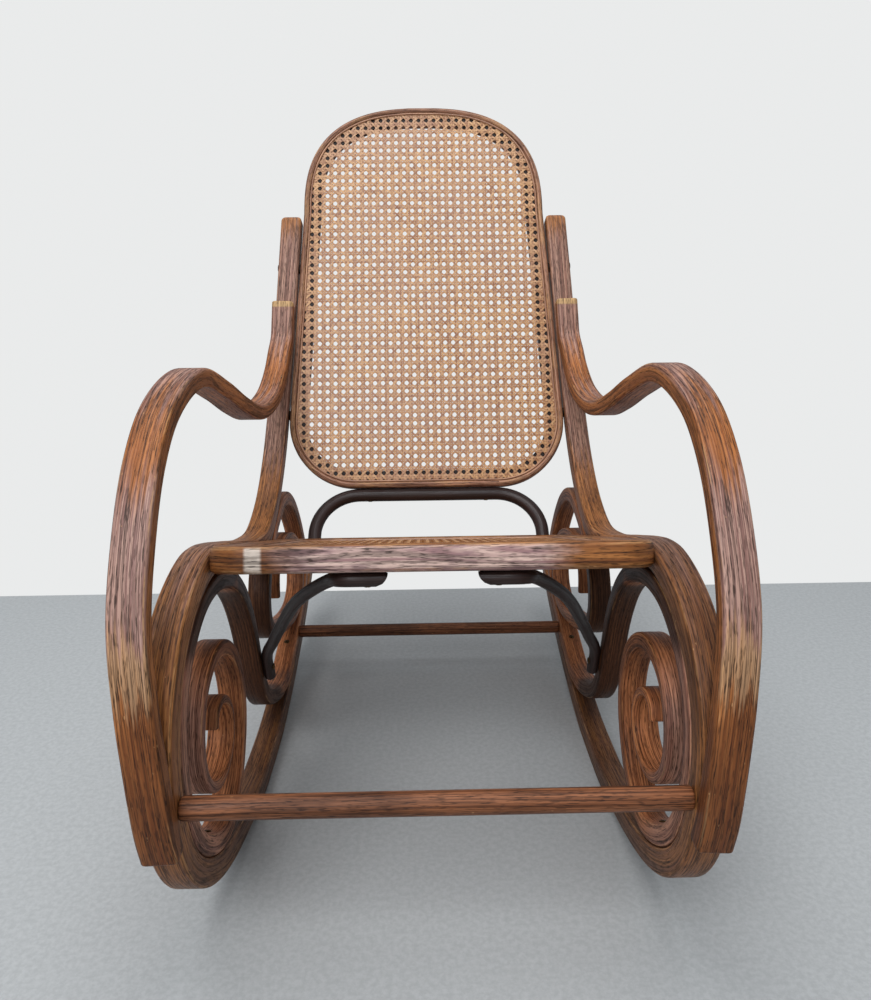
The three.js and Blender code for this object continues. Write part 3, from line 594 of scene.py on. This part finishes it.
def arm_wear_sheen_and_shade(paint, body, rings):
    """Arms: a painted sheen on their fronts at knee height and at the head, a pale band of wear,
    pale end grain at the cut top, and painted shade at the foot.
    """
    height = ragged_height(paint)
    front = paint.grain("Y").between(-0.004, -0.009)
    # the knee and head bands are painted sheen
    arm_sheen, head = height.band(*SHEEN_BAND), height.between(0.55, 0.59)
    body = painted_sheen(paint, body, rings, (arm_sheen * 0.62 + head * 0.5) * front)
    body = paint.mix(height.band(*BARE_BAND) * front * 0.42, body, (216, 180, 140))
    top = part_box("arm_left")[1].z
    cut_end = paint.place("Z").between(top - 0.011, top - 0.008)
    body = paint.mix(cut_end * 0.85, body, (206, 166, 112))
    # painted shade darkens the arm towards its foot
    return paint.mix(height.between(0.33, 0.23) * 0.6, body, (82, 42, 20))


def shaded_arch(paint, body, rings):
    """The scroll rods get a painted sheen on their front spirals, and painted shade, partly a
    dark stain, that keeps them nearly black under the seat's front half.
    """
    depth, height = paint.place("Y"), paint.place("Z")
    under = height.between(0.325, 0.345).most(depth.between(-0.185, -0.165))
    under = under * (1 - depth.between(0.02, 0.06))
    body = painted_sheen(paint, body, rings, depth.between(-0.30, -0.36) * 0.3)
    return paint.mix(under * 0.8, body, (30, 21, 17))


def long_rod_sheen_and_shade(paint, body, rings):
    """Long rods: a painted sheen on the uprights, painted shade on the right bow, and painted
    shade near the floor.
    """
    height = ragged_height(paint)
    front = paint.grain("Y").between(0.004, 0.012)
    body = painted_sheen(paint, body, rings, height.between(0.37, 0.43) * front * 0.48)
    # painted shade on the right bow
    right_bow_shade = (paint.place("X").between(0.0, 0.1)
                 * paint.place("Y").between(-0.20, -0.26)
                 * height.between(0.20, 0.32))
    body = paint.mix(right_bow_shade * 0.5, body, (74, 46, 34))
    body = paint.mix(height.between(0.725, 0.765) * 0.8, body, (170, 106, 48))
    # painted shade near the floor
    return paint.mix(height.between(0.16, 0.05) * 0.6, body, (54, 30, 18))


walnut = stained_wood("walnut_stain", (180, 118, 66), (140, 86, 48), (76, 42, 24),
                      local=long_rod_sheen_and_shade)
scroll_walnut = stained_wood("walnut_stain_scroll", (192, 122, 78), (142, 84, 52), (66, 37, 25),
                             wear=0.35, seed=3.1, gloss=0.12, local=shaded_arch)
arm_walnut = stained_wood("walnut_stain_arm", (176, 110, 60), (134, 76, 38), (84, 44, 23),
                          wear=0.6, seed=5.7, local=arm_wear_sheen_and_shade)
seat_walnut = stained_wood("walnut_stain_seat", (170, 110, 60), (126, 76, 42), (78, 42, 24),
                           wear=0.35, seed=8.3, local=seat_front_sheen_and_shade)
rim_walnut = stained_wood("walnut_stain_rim", (188, 140, 112), (146, 100, 78), (92, 60, 48),
                          wear=0.4, seed=11.9, local=painted_ledge_shade(PANEL_RIM))
bar_walnut = stained_wood("walnut_stain_bar", (146, 92, 60), (100, 58, 34), (60, 33, 19),
                          wear=0.3, seed=17.4)
dark_wood = stained_wood("dark_stain", (48, 30, 26), (34, 21, 19), (24, 15, 14),
                         worn=(84, 54, 42), wear=0.2, seed=14.2, gloss=0.4)


def cane_strands():
    """Rattan strands: each its own tan, stained in places, with painted shade where they dip
    under the others.
    """
    paint = Paint("cane_strands")
    along, tone, rise = (paint.attribute(name) for name in ("along", "tone", "rise"))
    place = paint.place()
    fibres = paint.noise(place, (2400, 2400, 2400), 1)
    blotch = paint.noise(place, (9, 9, 9), 2, 0.6)
    stains = paint.noise(place, (110, 110, 110), 3, 0.7)
    joints = paint.noise(paint.node("ShaderNodeCombineXYZ", {0: along, 1: tone, 2: tone}),
                         (55, 71, 13), 3, 0.75)
    body = paint.mix((tone * 0.12 + joints * 0.88).between(0.34, 0.62),
                     (142, 88, 48), (200, 152, 102))
    body = paint.mix(blotch.between(0.40, 0.66) * 0.35, body, (170, 128, 104))
    body = paint.mix(stains.between(0.56, 0.72) * 0.5, body, (110, 58, 30))
    # painted shade where a strand dips under the others
    body = paint.mix(rise.between(0.3, -0.9) * 0.55, body, (116, 62, 34))
    return paint.finish(
        Base_Color=body, Roughness=fibres * 0.2 + 0.42, Coat_Weight=0.12, Coat_Roughness=0.3,
        Normal=paint.bump(fibres, 0.0001, 0.4))


def bead_reed():
    paint = Paint("bead_reed")
    streak = paint.noise(paint.grain(), (500, 500, 20), 3, 0.65)
    body = paint.mix(streak.between(0.35, 0.7), (128, 84, 60), (190, 142, 108))
    return paint.finish(Base_Color=body, Roughness=streak * 0.2 + 0.38, Coat_Weight=0.2,
                        Coat_Roughness=0.3, Normal=paint.bump(streak, 0.0002, 0.4))


def aged_metal(name, bright, tarnished):
    paint = Paint(name)
    tarnish = paint.noise(paint.place(), (400, 400, 400), 4, 0.7)
    body = paint.mix(tarnish.between(0.36, 0.62), bright, tarnished)
    return paint.finish(Base_Color=body, Metallic=1.0,
                        Roughness=tarnish.between(0.3, 0.7) * 0.35 + 0.34,
                        Normal=paint.bump(tarnish, 0.0001, 0.5))


cane_tan, bead_tan = cane_strands(), bead_reed()
dark_brass = aged_metal("dark_brass", (112, 88, 56), (48, 38, 28))
# the spacers' metal is darkened as painted shade of the gap between upright and panel
gap_shade_metal = aged_metal("gap_shade_metal", (62, 52, 46), (30, 26, 24))


# Side frames

def curl_thinning(along):
    to_end = np.clip(np.minimum(along, along[-1] - along) / CURL_LENGTH, 0, 1)
    fullness = to_end**2 * (3 - 2 * to_end)
    return CURL_THICKNESS + (SCROLL_THICKNESS - CURL_THICKNESS) * fullness


def in_side(path, sign, offset):
    return np.column_stack([np.full(len(path), sign * offset), path])


def place_piece(obj, slot, *nodes):
    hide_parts(*nodes)
    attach(obj, "root")


def leaned(rings):
    """The uprights lean towards each other."""
    lean = np.where(rings[..., 1] > LEAN_FRONT_SHARE * SIDE_SPAN, lean_at(rings[..., 2]), 0)
    rings[..., 0] -= np.sign(rings[..., 0]) * lean
    return rings


for side, sign in SIDES:
    place_piece(bent_rod(f"bent_long_rod_{side}", in_side(rail_path, sign, RAIL_CENTRE),
                         RAIL_WIDTH, even_thickness(RAIL_THICKNESS), walnut,
                         reshape=leaned, end_round=LONG_ROD_END_ROUND),
                "walnut", f"long_rod_{side}")
    place_piece(bent_rod(f"bent_scroll_rod_{side}", in_side(scroll_path, sign, SCROLL_CENTRE),
                         SCROLL_WIDTH, curl_thinning, scroll_walnut),
                "walnut", f"scroll_rod_{side}")
    place_piece(bent_rod(f"bent_arm_{side}", arm_path * (sign, 1, 1), ARM_WIDTH,
                         even_thickness(ARM_THICKNESS), arm_walnut),
                "walnut", f"arm_{side}")


# Seat and back

def corner_arc(centre, radii, start_turn, steps):
    angle = (start_turn + np.arange(steps + 1) / (4 * steps)) * 2 * np.pi
    return np.stack([centre[0] + radii[0] * np.cos(angle),
                     centre[1] + radii[1] * np.sin(angle)], axis=1)


def mirrored(right_half):
    return np.vstack([right_half, (right_half * (-1, 1))[::-1]])


def seat_outline(inwards):
    """The seat's outline, from the middle of its rear edge."""
    half = INNER_FACE - FIT_GAP - inwards
    front, rear = (max(r - inwards, LEAST_ROUND) for r in (SEAT_FRONT_ROUND, SEAT_REAR_ROUND))
    outline = mirrored(np.vstack([
        corner_arc((half - front, inwards + front), (front, front), -0.25, steps=10),
        corner_arc((half - rear, SEAT_DEPTH - inwards - rear), (rear, rear), 0, steps=18)]))
    return np.roll(outline, len(outline) // 2, axis=0)


def panel_shape():
    taper = UPRIGHT_LEAN * math.cos(PANEL_TILT)
    foot_half = INNER_FACE - float(lean_at(panel_foot[1])) - PANEL_AIR
    shoulder = PANEL_HEIGHT - PANEL_SHOULDER
    shoulder_half = foot_half - taper * shoulder
    angle = np.linspace(0, np.pi / 2, PANEL_TOP_STEPS + 1)[:-1]
    top = np.stack([shoulder_half * np.cos(angle) ** (2 / PANEL_ROUNDNESS),
                    shoulder + PANEL_SHOULDER * np.sin(angle) ** (2 / PANEL_ROUNDNESS)], axis=1)
    top = top[top[:, 0] > shoulder_half * TOP_FLAT_SHARE]
    corner = foot_half - taper * PANEL_FOOT_ROUND - PANEL_FOOT_ROUND
    foot = corner_arc((corner, PANEL_FOOT_ROUND), [PANEL_FOOT_ROUND] * 2, -0.25, steps=20)
    half = np.vstack([foot, top, [[shoulder_half * TOP_FLAT_SHARE, PANEL_HEIGHT]]])
    return evenly(mirrored(half), RING_STEP, closed=True)


back_shape = panel_shape()
back_inward = directions(back_shape, closed=True)
back_inward = np.stack([-back_inward[:, 1], back_inward[:, 0]], axis=1)


def panel_outline(inwards):
    return back_shape + back_inward * inwards


def rounded_corner(x, y, radius, angles):
    return [(x + radius * math.cos(t), y + radius * math.sin(t)) for t in angles]


def frame_profile(rim, thickness, outer, inner):
    """Section of a caned frame with its ledge, as distance inwards and height."""
    face = thickness / 2
    ledge_top = face - CANE_INSET - CANE_THICKNESS - FIT_GAP
    ledge_back = LEAST_ROUND - face
    turn = np.linspace(0, np.pi / 2, END_STEPS + 1)
    return [*rounded_corner(outer, face - outer, outer, np.pi - turn),
            *rounded_corner(rim - inner, face - inner, inner, np.pi / 2 - turn),
            (rim, ledge_top), (rim + LEDGE_WIDTH, ledge_top), (rim + LEDGE_WIDTH, ledge_back),
            (rim, ledge_back),
            *rounded_corner(rim - inner, inner - face, inner, -turn),
            *rounded_corner(outer, outer - face, outer, -np.pi / 2 - turn)]


def rim_edges(rim, thickness, round_size):
    """How near a point of a rim's section is to one of its edges."""
    def edge_at(inwards, height):
        corner = max(0.0, 1 - min(inwards, abs(rim - inwards)) / round_size)
        level = max(0.0, 1 - (thickness / 2 - abs(height)) / round_size)
        return min(1.0, 4 * min(corner, level))
    return edge_at


def bead_profile(rim, thickness):
    base = thickness / 2 - CANE_INSET + FIT_GAP
    middle = rim + FIT_GAP + BEAD_WIDTH / 2
    return [(middle + BEAD_WIDTH / 2 * math.cos(t), base + BEAD_HEIGHT * math.sin(t))
            for t in np.linspace(np.pi, 0, BEAD_STEPS + 1)]


caned = (("seat", seat_outline, SEAT_RIM, SEAT_THICKNESS, in_seat),
         ("back", panel_outline, PANEL_RIM, PANEL_THICKNESS, in_panel))
for (name, outline_at, rim, thickness, place), rounds, wood in zip(
        caned, (SEAT_EDGE_ROUNDS, PANEL_EDGE_ROUNDS), (seat_walnut, rim_walnut)):
    place_piece(framed(f"{name}_ring", outline_at, frame_profile(rim, thickness, *rounds), place,
                       wood, rim_edges(rim, thickness, rounds[0])), "walnut", f"{name}_frame")
for name, outline_at, rim, thickness, place in caned:
    place_piece(framed(f"{name}_reed", outline_at, bead_profile(rim, thickness), place,
                       bead_tan, lambda *_: 0.0), "cane", f"{name}_bead")


# Cane

def node_tree(name, floats):
    """An empty geometry tree with one geometry input, these number inputs and an output."""
    tree = bpy.data.node_groups.new(name, "GeometryNodeTree")
    tree.interface.new_socket("Geometry", in_out="INPUT", socket_type="NodeSocketGeometry")
    for label, value in floats.items():
        tree.interface.new_socket(
            label, in_out="INPUT", socket_type="NodeSocketFloat").default_value = value
    tree.interface.new_socket("Geometry", in_out="OUTPUT", socket_type="NodeSocketGeometry")
    return tree


def painted_tree(tree, shape, material):
    """Ends a geometry tree with the plain shape in its material."""
    real = add(tree, "GeometryNodeRealizeInstances", {"Geometry": shape})
    painted = add(tree, "GeometryNodeSetMaterial", {"Geometry": real, "Material": material})
    add(tree, "NodeGroupOutput", {"Geometry": painted})
    return tree


STRAND_INPUTS = {"Strand Width": STRAND_WIDTH, "Strand Thickness": STRAND_THICKNESS}


def strand_tree(material):
    """Sweeps every line of a mesh as a flat strand with a narrower upper side."""
    tree = node_tree("strands", STRAND_INPUTS)
    start = add(tree, "NodeGroupInput")
    width, thickness = (start.outputs[name] for name in STRAND_INPUTS)
    lines = add(tree, "GeometryNodeMeshToCurve", {"Mesh": start})
    level = add(tree, "GeometryNodeSetCurveNormal", {"Curve": lines}, mode="Z_UP")
    narrow = add(tree, "ShaderNodeMath", {0: width, 1: STRAND_TOP_SHARE}, operation="MULTIPLY")
    strip = add(tree, "GeometryNodeCurvePrimitiveQuadrilateral", {
        "Bottom Width": width, "Top Width": narrow, "Height": thickness, "Offset": 0.0},
        mode="TRAPEZOID")
    swept = add(tree, "GeometryNodeCurveToMesh",
                {"Curve": level, "Profile Curve": strip, "Fill Caps": True})
    return painted_tree(tree, swept, material)


def through_nodes(name, mesh, tree, inputs):
    """The plain mesh that a tree makes of a mesh."""
    source = shown(name + "_source", mesh)
    modifier = source.modifiers.new("shape", "NODES")
    modifier.node_group = tree
    sockets = {s.name: s.identifier for s in tree.interface.items_tree if s.in_out == "INPUT"}
    for label, value in inputs.items():
        modifier[sockets[label]] = value
    graph = bpy.context.evaluated_depsgraph_get()
    result = bpy.data.meshes.new_from_object(source.evaluated_get(graph))
    bpy.data.objects.remove(source)
    return result


def clipped(outline, point, direction):
    """Where a line enters and leaves an outline, as distances along it."""
    after = np.roll(outline, -1, axis=0)
    aside = np.array([-direction[1], direction[0]])
    a, b = (outline - point) @ aside, (after - point) @ aside
    hit = (a > 0) != (b > 0)
    if not hit.any():
        return None
    share = (a / np.where(hit, a - b, 1))[hit][:, None]
    met = (outline[hit] + share * (after[hit] - outline[hit]) - point) @ direction
    return met.min(), met.max()


def strand_line(outline, point, direction, heights, period, start=0.0):
    """Places, heights and lengths along one strand of a cane. `heights` are (share of a period,
    height) pairs of its weave."""
    ends = clipped(outline, point, direction)
    if ends is None or ends[1] - ends[0] < CANE_PITCH[0] / 2:
        return []
    first, last = (math.floor((end - start) / period) for end in ends)
    bends = [(start + (n + at) * period, up) for n in range(first - 1, last + 2)
             for at, up in heights]
    bends = [(at, up) for at, up in bends
             if ends[0] + STRAND_MARGIN < at < ends[1] - STRAND_MARGIN]
    if not bends:
        return []
    line = np.array([(ends[0], bends[0][1]), *bends, (ends[1], bends[-1][1])])
    at, up = line[:, :1], line[:, 1:]
    return [np.hstack([point + at * direction, up, at - ends[0]])]


def woven_lines(outline):
    """The strands of a six-way cane in three layers: uprights, crossers and diagonals."""
    pitch = np.array(CANE_PITCH)
    start = pitch * CANE_START_SHARE
    period = np.hypot(*pitch)
    reach = int(np.abs(outline).max() / pitch.min()) + 2
    spread, over = PAIR_SPREAD / pitch[0], STRAND_THICKNESS / 2
    layers = {"upright": [], "cross": [], "diagonal": []}
    for n in range(-reach, reach + 1):
        for sign in (-1, 1):
            for kind, along, up in (("upright", 1, sign * over), ("cross", 0, -sign * over)):
                point, direction = np.zeros(2), np.eye(2)[along]
                point[1 - along] = start[1 - along] + pitch[1 - along] * (n + sign * spread)
                layers[kind] += strand_line(
                    outline, point, direction, [(-spread, up), (spread, -up), (0.5, 0)],
                    pitch[along], start[along])
    for n in range(-2 * reach, 2 * reach + 1):
        for sign in (-1, 1):
            up = sign * STRAND_THICKNESS
            heights = [(-CROSSING_SHARE, up), (CROSSING_SHARE, up),
                       (0.5 - CROSSING_SHARE, -up), (0.5 + CROSSING_SHARE, -up)]
            layers["diagonal"] += strand_line(
                outline, start + (0, pitch[1] * (n + 0.5)), pitch / period * (1, sign), heights,
                period)
    return layers


chance = np.random.default_rng(27)
strands = strand_tree(cane_tan)


def woven_cane(name, outline_at, rim, thickness, place):
    level = thickness / 2 - CANE_INSET - CANE_THICKNESS / 2
    for kind, lines in woven_lines(outline_at(rim + FIT_GAP)).items():
        points, counts = np.vstack(lines), [len(line) for line in lines]
        strand_ends = set(np.cumsum(counts) - 1)
        mesh = bpy.data.meshes.new(name)
        mesh.from_pydata(points[:, :3].tolist(), [
            (i, i + 1) for i in range(len(points)) if i not in strand_ends], [])
        store(mesh, "tone", np.repeat(chance.random(len(lines)), counts))
        store(mesh, "along", points[:, 3] * MM)
        store(mesh, "rise", points[:, 2] / STRAND_THICKNESS)
        woven = through_nodes(name, mesh, strands, STRAND_INPUTS)
        corners = np.zeros(len(woven.vertices) * 3, np.float32)
        woven.vertices.foreach_get("co", corners)
        corners = on_floor(place(corners.reshape(-1, 3) + (0, 0, level)))
        woven.vertices.foreach_set("co", corners.astype(np.float32).ravel())
        smoothed(woven, CANE_CREASE)
        woven.name = f"{name}_{kind}"
        place_piece(shown(woven.name, woven), "cane", name)


for name, *form in reversed(caned):
    woven_cane(f"{name}_cane", *form)


# Thin rods and stretchers

hoop_foot = in_seat([0, SEAT_DEPTH - HOOP_REAR_MARGIN, SEAT_THICKNESS / 2])
hoop_top = in_panel([0, -HOOP_DIAMETER / 2 - FIT_GAP, 0])
hoop_rise, hoop_up = np.linalg.norm(hoop_top - hoop_foot), unit(hoop_top - hoop_foot)
hoop_half = np.vstack([
    [[HOOP_HALF_WIDTH, -HOOP_SOCKET]],
    corner_arc((HOOP_HALF_WIDTH - HOOP_CORNER, hoop_rise - HOOP_CORNER), [HOOP_CORNER] * 2, 0,
               steps=16)])
hoop_line = evenly(mirrored(hoop_half), THIN_ROD_STEP)
hoop_path = hoop_foot + hoop_line[:, :1] * across + hoop_line[:, 1:] * hoop_up
place_piece(round_rod("bent_back_hoop", hoop_path, HOOP_DIAMETER, dark_wood,
                      np.cross(across, hoop_up)), "dark_wood", "back_hoop")

brace_start = in_seat([0, SEAT_RIM / 2, -SEAT_THICKNESS / 2 - BRACE_DIAMETER / 2 - FIT_GAP])
brace_foot = side_points([[-0.060, 0.160]])[0]
brace_foot_x = INNER_FACE - BRACE_DIAMETER / 2 - FIT_GAP


def on_brace(x, depth_share, height_share):
    return (x, brace_start[1] + (brace_foot[0] - brace_start[1]) * depth_share,
            brace_start[2] + (brace_foot[1] - brace_start[2]) * height_share)


BRACE_SHARES = [
    [0.200, 0, 0], [0.400, 0, 0], [0.475, 0.140, 0.035], [0.680, 0.412, 0.234],
    [0.832, 0.690, 0.505], [0.900, 0.815, 0.650],
]
BRACE_FOOT_SHARES = [[0.926, 0.800], [1, 1]]
BRACE_SIDE = np.array([0.0, 0.5, 0.86])
brace_path = smooth_path([
    *(on_brace(out * INNER_FACE, depth, height) for out, depth, height in BRACE_SHARES),
    *(on_brace(brace_foot_x, depth, height) for depth, height in BRACE_FOOT_SHARES),
], THIN_ROD_STEP)


def fitted_brace(rings):
    """Flattened against the scroll rod, and rounded under its inner end."""
    rings[..., 0] = np.clip(rings[..., 0], FIT_GAP - INNER_FACE, INNER_FACE - FIT_GAP)
    local = turned_up(rings - seat_origin, SEAT_TILT)
    length = BRACE_END_SHARE * BRACE_DIAMETER
    start, top = BRACE_SHARES[0][0] * INNER_FACE, -SEAT_THICKNESS / 2 - FIT_GAP
    into = np.clip((np.abs(local[..., 0]) - start) / length, 0, 1)
    lowest = top - BRACE_DIAMETER * np.sqrt(1 - (1 - into) ** 2)
    local[..., 2] = np.maximum(local[..., 2], np.where(into < 1, lowest, -np.inf))
    return turned_up(local, -SEAT_TILT) + seat_origin


for side, sign in SIDES:
    place_piece(round_rod(f"bent_front_brace_{side}", brace_path * (sign, 1, 1), BRACE_DIAMETER,
                          dark_wood, BRACE_SIDE, fitted_brace),
                "dark_wood", f"front_brace_{side}")

for name, path, share, diameter in (
        ("front_stretcher", rail_path, [-0.436, 0.150], FRONT_STRETCHER),
        ("rear_stretcher", scroll_path, [0.241, 0.154], REAR_STRETCHER)):
    at = path[nearest(path, share)]
    reach = INNER_FACE - FIT_GAP
    line = in_side(np.tile(at, (STRETCHER_STEPS + 1, 1)), 1, 0)
    line[:, 0] = np.linspace(-reach, reach, STRETCHER_STEPS + 1)
    place_piece(round_rod(f"turned_{name}", line, diameter, bar_walnut, upwards), "walnut", name)


# Screws and bolts: a slotted domed head for each, and spacers darkened as painted shade of the
# gaps they sit in

HEAD_INPUTS = {"Dome Share": 0.35, "Slot Share": 0.2}


def head_tree(material):
    """Puts a slotted domed head on every point, facing the way the point's attribute says."""
    tree = node_tree("slotted heads", HEAD_INPUTS)
    start = add(tree, "NodeGroupInput")
    dome_share, slot_share = (start.outputs[name] for name in HEAD_INPUTS)
    ball = add(tree, "GeometryNodeMeshUVSphere", {"Segments": 28, "Rings": 14, "Radius": 1.0})
    flat = add(tree, "ShaderNodeCombineXYZ", {0: 1.0, 1: 1.0, 2: dome_share})
    dome = add(tree, "GeometryNodeTransform", {"Geometry": ball, "Scale": flat})
    slot_size = add(tree, "ShaderNodeCombineXYZ", {0: slot_share, 1: 3.0, 2: slot_share})
    slot = add(tree, "GeometryNodeMeshCube", {"Size": slot_size})
    slot_up = add(tree, "ShaderNodeCombineXYZ", {2: dome_share})
    raised = add(tree, "GeometryNodeTransform", {"Geometry": slot, "Translation": slot_up})
    head = add(tree, "GeometryNodeMeshBoolean", {"Mesh 1": dome, "Mesh 2": raised},
               operation="DIFFERENCE")
    facing = add(tree, "GeometryNodeInputNamedAttribute", {"Name": "facing"},
                 data_type="FLOAT_VECTOR")
    size = add(tree, "GeometryNodeInputNamedAttribute", {"Name": "size"}, data_type="FLOAT")
    turned = add(tree, "FunctionNodeAlignRotationToVector", {"Vector": facing}, axis="Z")
    heads = add(tree, "GeometryNodeInstanceOnPoints", {
        "Points": start, "Instance": head, "Rotation": turned, "Scale": size})
    return painted_tree(tree, heads, material)


def head_seat(corners):
    """Where a fastener's head sits, which way it faces, and its radius."""
    middle = corners.mean(axis=0)
    axis = np.linalg.svd(corners - middle)[2][0]
    reach = (corners - middle) @ axis
    radius = np.linalg.norm(corners - middle - reach[:, None] * axis, axis=1)
    widest = radius > radius.max() * 0.99
    if reach[widest].mean() < 0:
        axis, reach = -axis, -reach
    seat = corners[widest].mean(axis=0) + axis * (reach[widest].min() - reach[widest].mean())
    return seat, axis, radius.max()


fasteners = sorted(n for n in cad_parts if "screw" in n or "bolt" in n)
seats, facings, head_sizes = zip(*(
    head_seat(np.array([v.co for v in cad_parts[name].data.vertices]))
    for name in fasteners))
head_points = bpy.data.meshes.new("heads")
head_points.from_pydata([tuple(p) for p in seats], [], [])
store(head_points, "facing", facings)
store(head_points, "size", head_sizes)
heads = through_nodes("heads", head_points, head_tree(dark_brass), HEAD_INPUTS)
smoothed(heads, METAL_CREASE)
place_piece(shown("slotted_heads", heads), "screws", *fasteners)
for name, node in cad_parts.items():
    if "spacer" in name:
        node.data.materials.clear()
        node.data.materials.append(gap_shade_metal)


# Floor, light and camera

WALL_DEPTH, FLOOR_REACH = 0.59, 12.0
floor_paint = Paint("pale_floor")
speckle = floor_paint.noise(floor_paint.place(), (150, 150, 150), 3, 0.7)
floor_tone = floor_paint.mix(speckle.between(0.3, 0.7),
                             (172, 173, 172), (184, 185, 184))
floor_mesh = bpy.data.meshes.new("floor")
floor_mesh.from_pydata([(x * FLOOR_REACH, y, 0) for x, y in (
    (-1, -FLOOR_REACH), (1, -FLOOR_REACH), (1, WALL_DEPTH), (-1, WALL_DEPTH))], [],
    [(0, 1, 2, 3)])
floor_mesh.materials.append(
    floor_paint.finish(Base_Color=floor_tone, Roughness=0.9, Specular_IOR_Level=0.2))
shown("floor", floor_mesh)

world = bpy.data.worlds.new("studio")
bpy.context.scene.world = world
world.use_nodes = True
studio = world.node_tree
sky = studio.nodes["Background"]
feed(studio, sky, {"Color": (0.84, 0.92, 1.0, 1), "Strength": 0.40})
backdrop = add(studio, "ShaderNodeBackground", {"Color": (0.82, 0.83, 0.83, 1)})
rays = add(studio, "ShaderNodeLightPath")
seen = add(studio, "ShaderNodeMixShader",
           {0: rays.outputs["Is Camera Ray"], 1: sky, 2: backdrop})
feed(studio, studio.nodes["World Output"], {"Surface": seen})

LAMP_AIM, SKY_TINT = Vector((0, 0, 0.4)), (0.95, 0.97, 1.0)


def soft_lamp(name, place, size, watts):
    """A round lamp that looks at the chair's seat."""
    lamp = bpy.data.lights.new(name, "AREA")
    lamp.shape, lamp.size, lamp.energy, lamp.color = "DISK", size, watts, SKY_TINT
    made = shown(name, lamp)
    made.location = place
    made.rotation_mode = "QUATERNION"
    made.rotation_quaternion = (LAMP_AIM - Vector(place)).to_track_quat("-Z", "Y")


soft_lamp("front_sky", (-0.9, -2.9, 2.9), 2.3, 85)
soft_lamp("top_sky", (-0.2, -0.2, 3.0), 2.4, 48)

CAMERA_FOCAL, CAMERA_MIDDLE = 780.0, (435.02, 508.21)  # in the photo's pixels
IMAGE_WIDTH, IMAGE_HEIGHT = 871, 1000
CAMERA_DOWN, CAMERA_YAW, CAMERA_ROLL = (math.radians(a) for a in (3.786, 1.006, 0.772))
CAMERA_PLACE = (-10.87, -1110.0, 456.79)  # in the side view

forward = np.array([math.sin(CAMERA_YAW) * math.cos(CAMERA_DOWN),
                    math.cos(CAMERA_YAW) * math.cos(CAMERA_DOWN), -math.sin(CAMERA_DOWN)])
level_right = np.array([math.cos(CAMERA_YAW), -math.sin(CAMERA_YAW), 0])
level_up = np.cross(level_right, forward)
right = level_right * math.cos(CAMERA_ROLL) - level_up * math.sin(CAMERA_ROLL)
up = level_up * math.cos(CAMERA_ROLL) + level_right * math.sin(CAMERA_ROLL)
lens = bpy.data.cameras.new("photo_view")
lens.sensor_fit, lens.sensor_width = "AUTO", 36
lens.lens = CAMERA_FOCAL * lens.sensor_width / IMAGE_HEIGHT
lens.shift_x = (IMAGE_WIDTH / 2 - CAMERA_MIDDLE[0]) / IMAGE_HEIGHT
lens.shift_y = (CAMERA_MIDDLE[1] - IMAGE_HEIGHT / 2) / IMAGE_HEIGHT
camera = shown("photo_view", lens)
turn = np.column_stack([turned_up(v, -REST_TILT) for v in (right, up, -forward)])
camera.matrix_world = Matrix.Translation(Vector(on_floor(np.array(CAMERA_PLACE)))) @ Matrix(
    turn.tolist()).to_4x4()
bpy.context.scene.camera = camera
bpy.context.scene.view_settings.view_transform = "Standard"
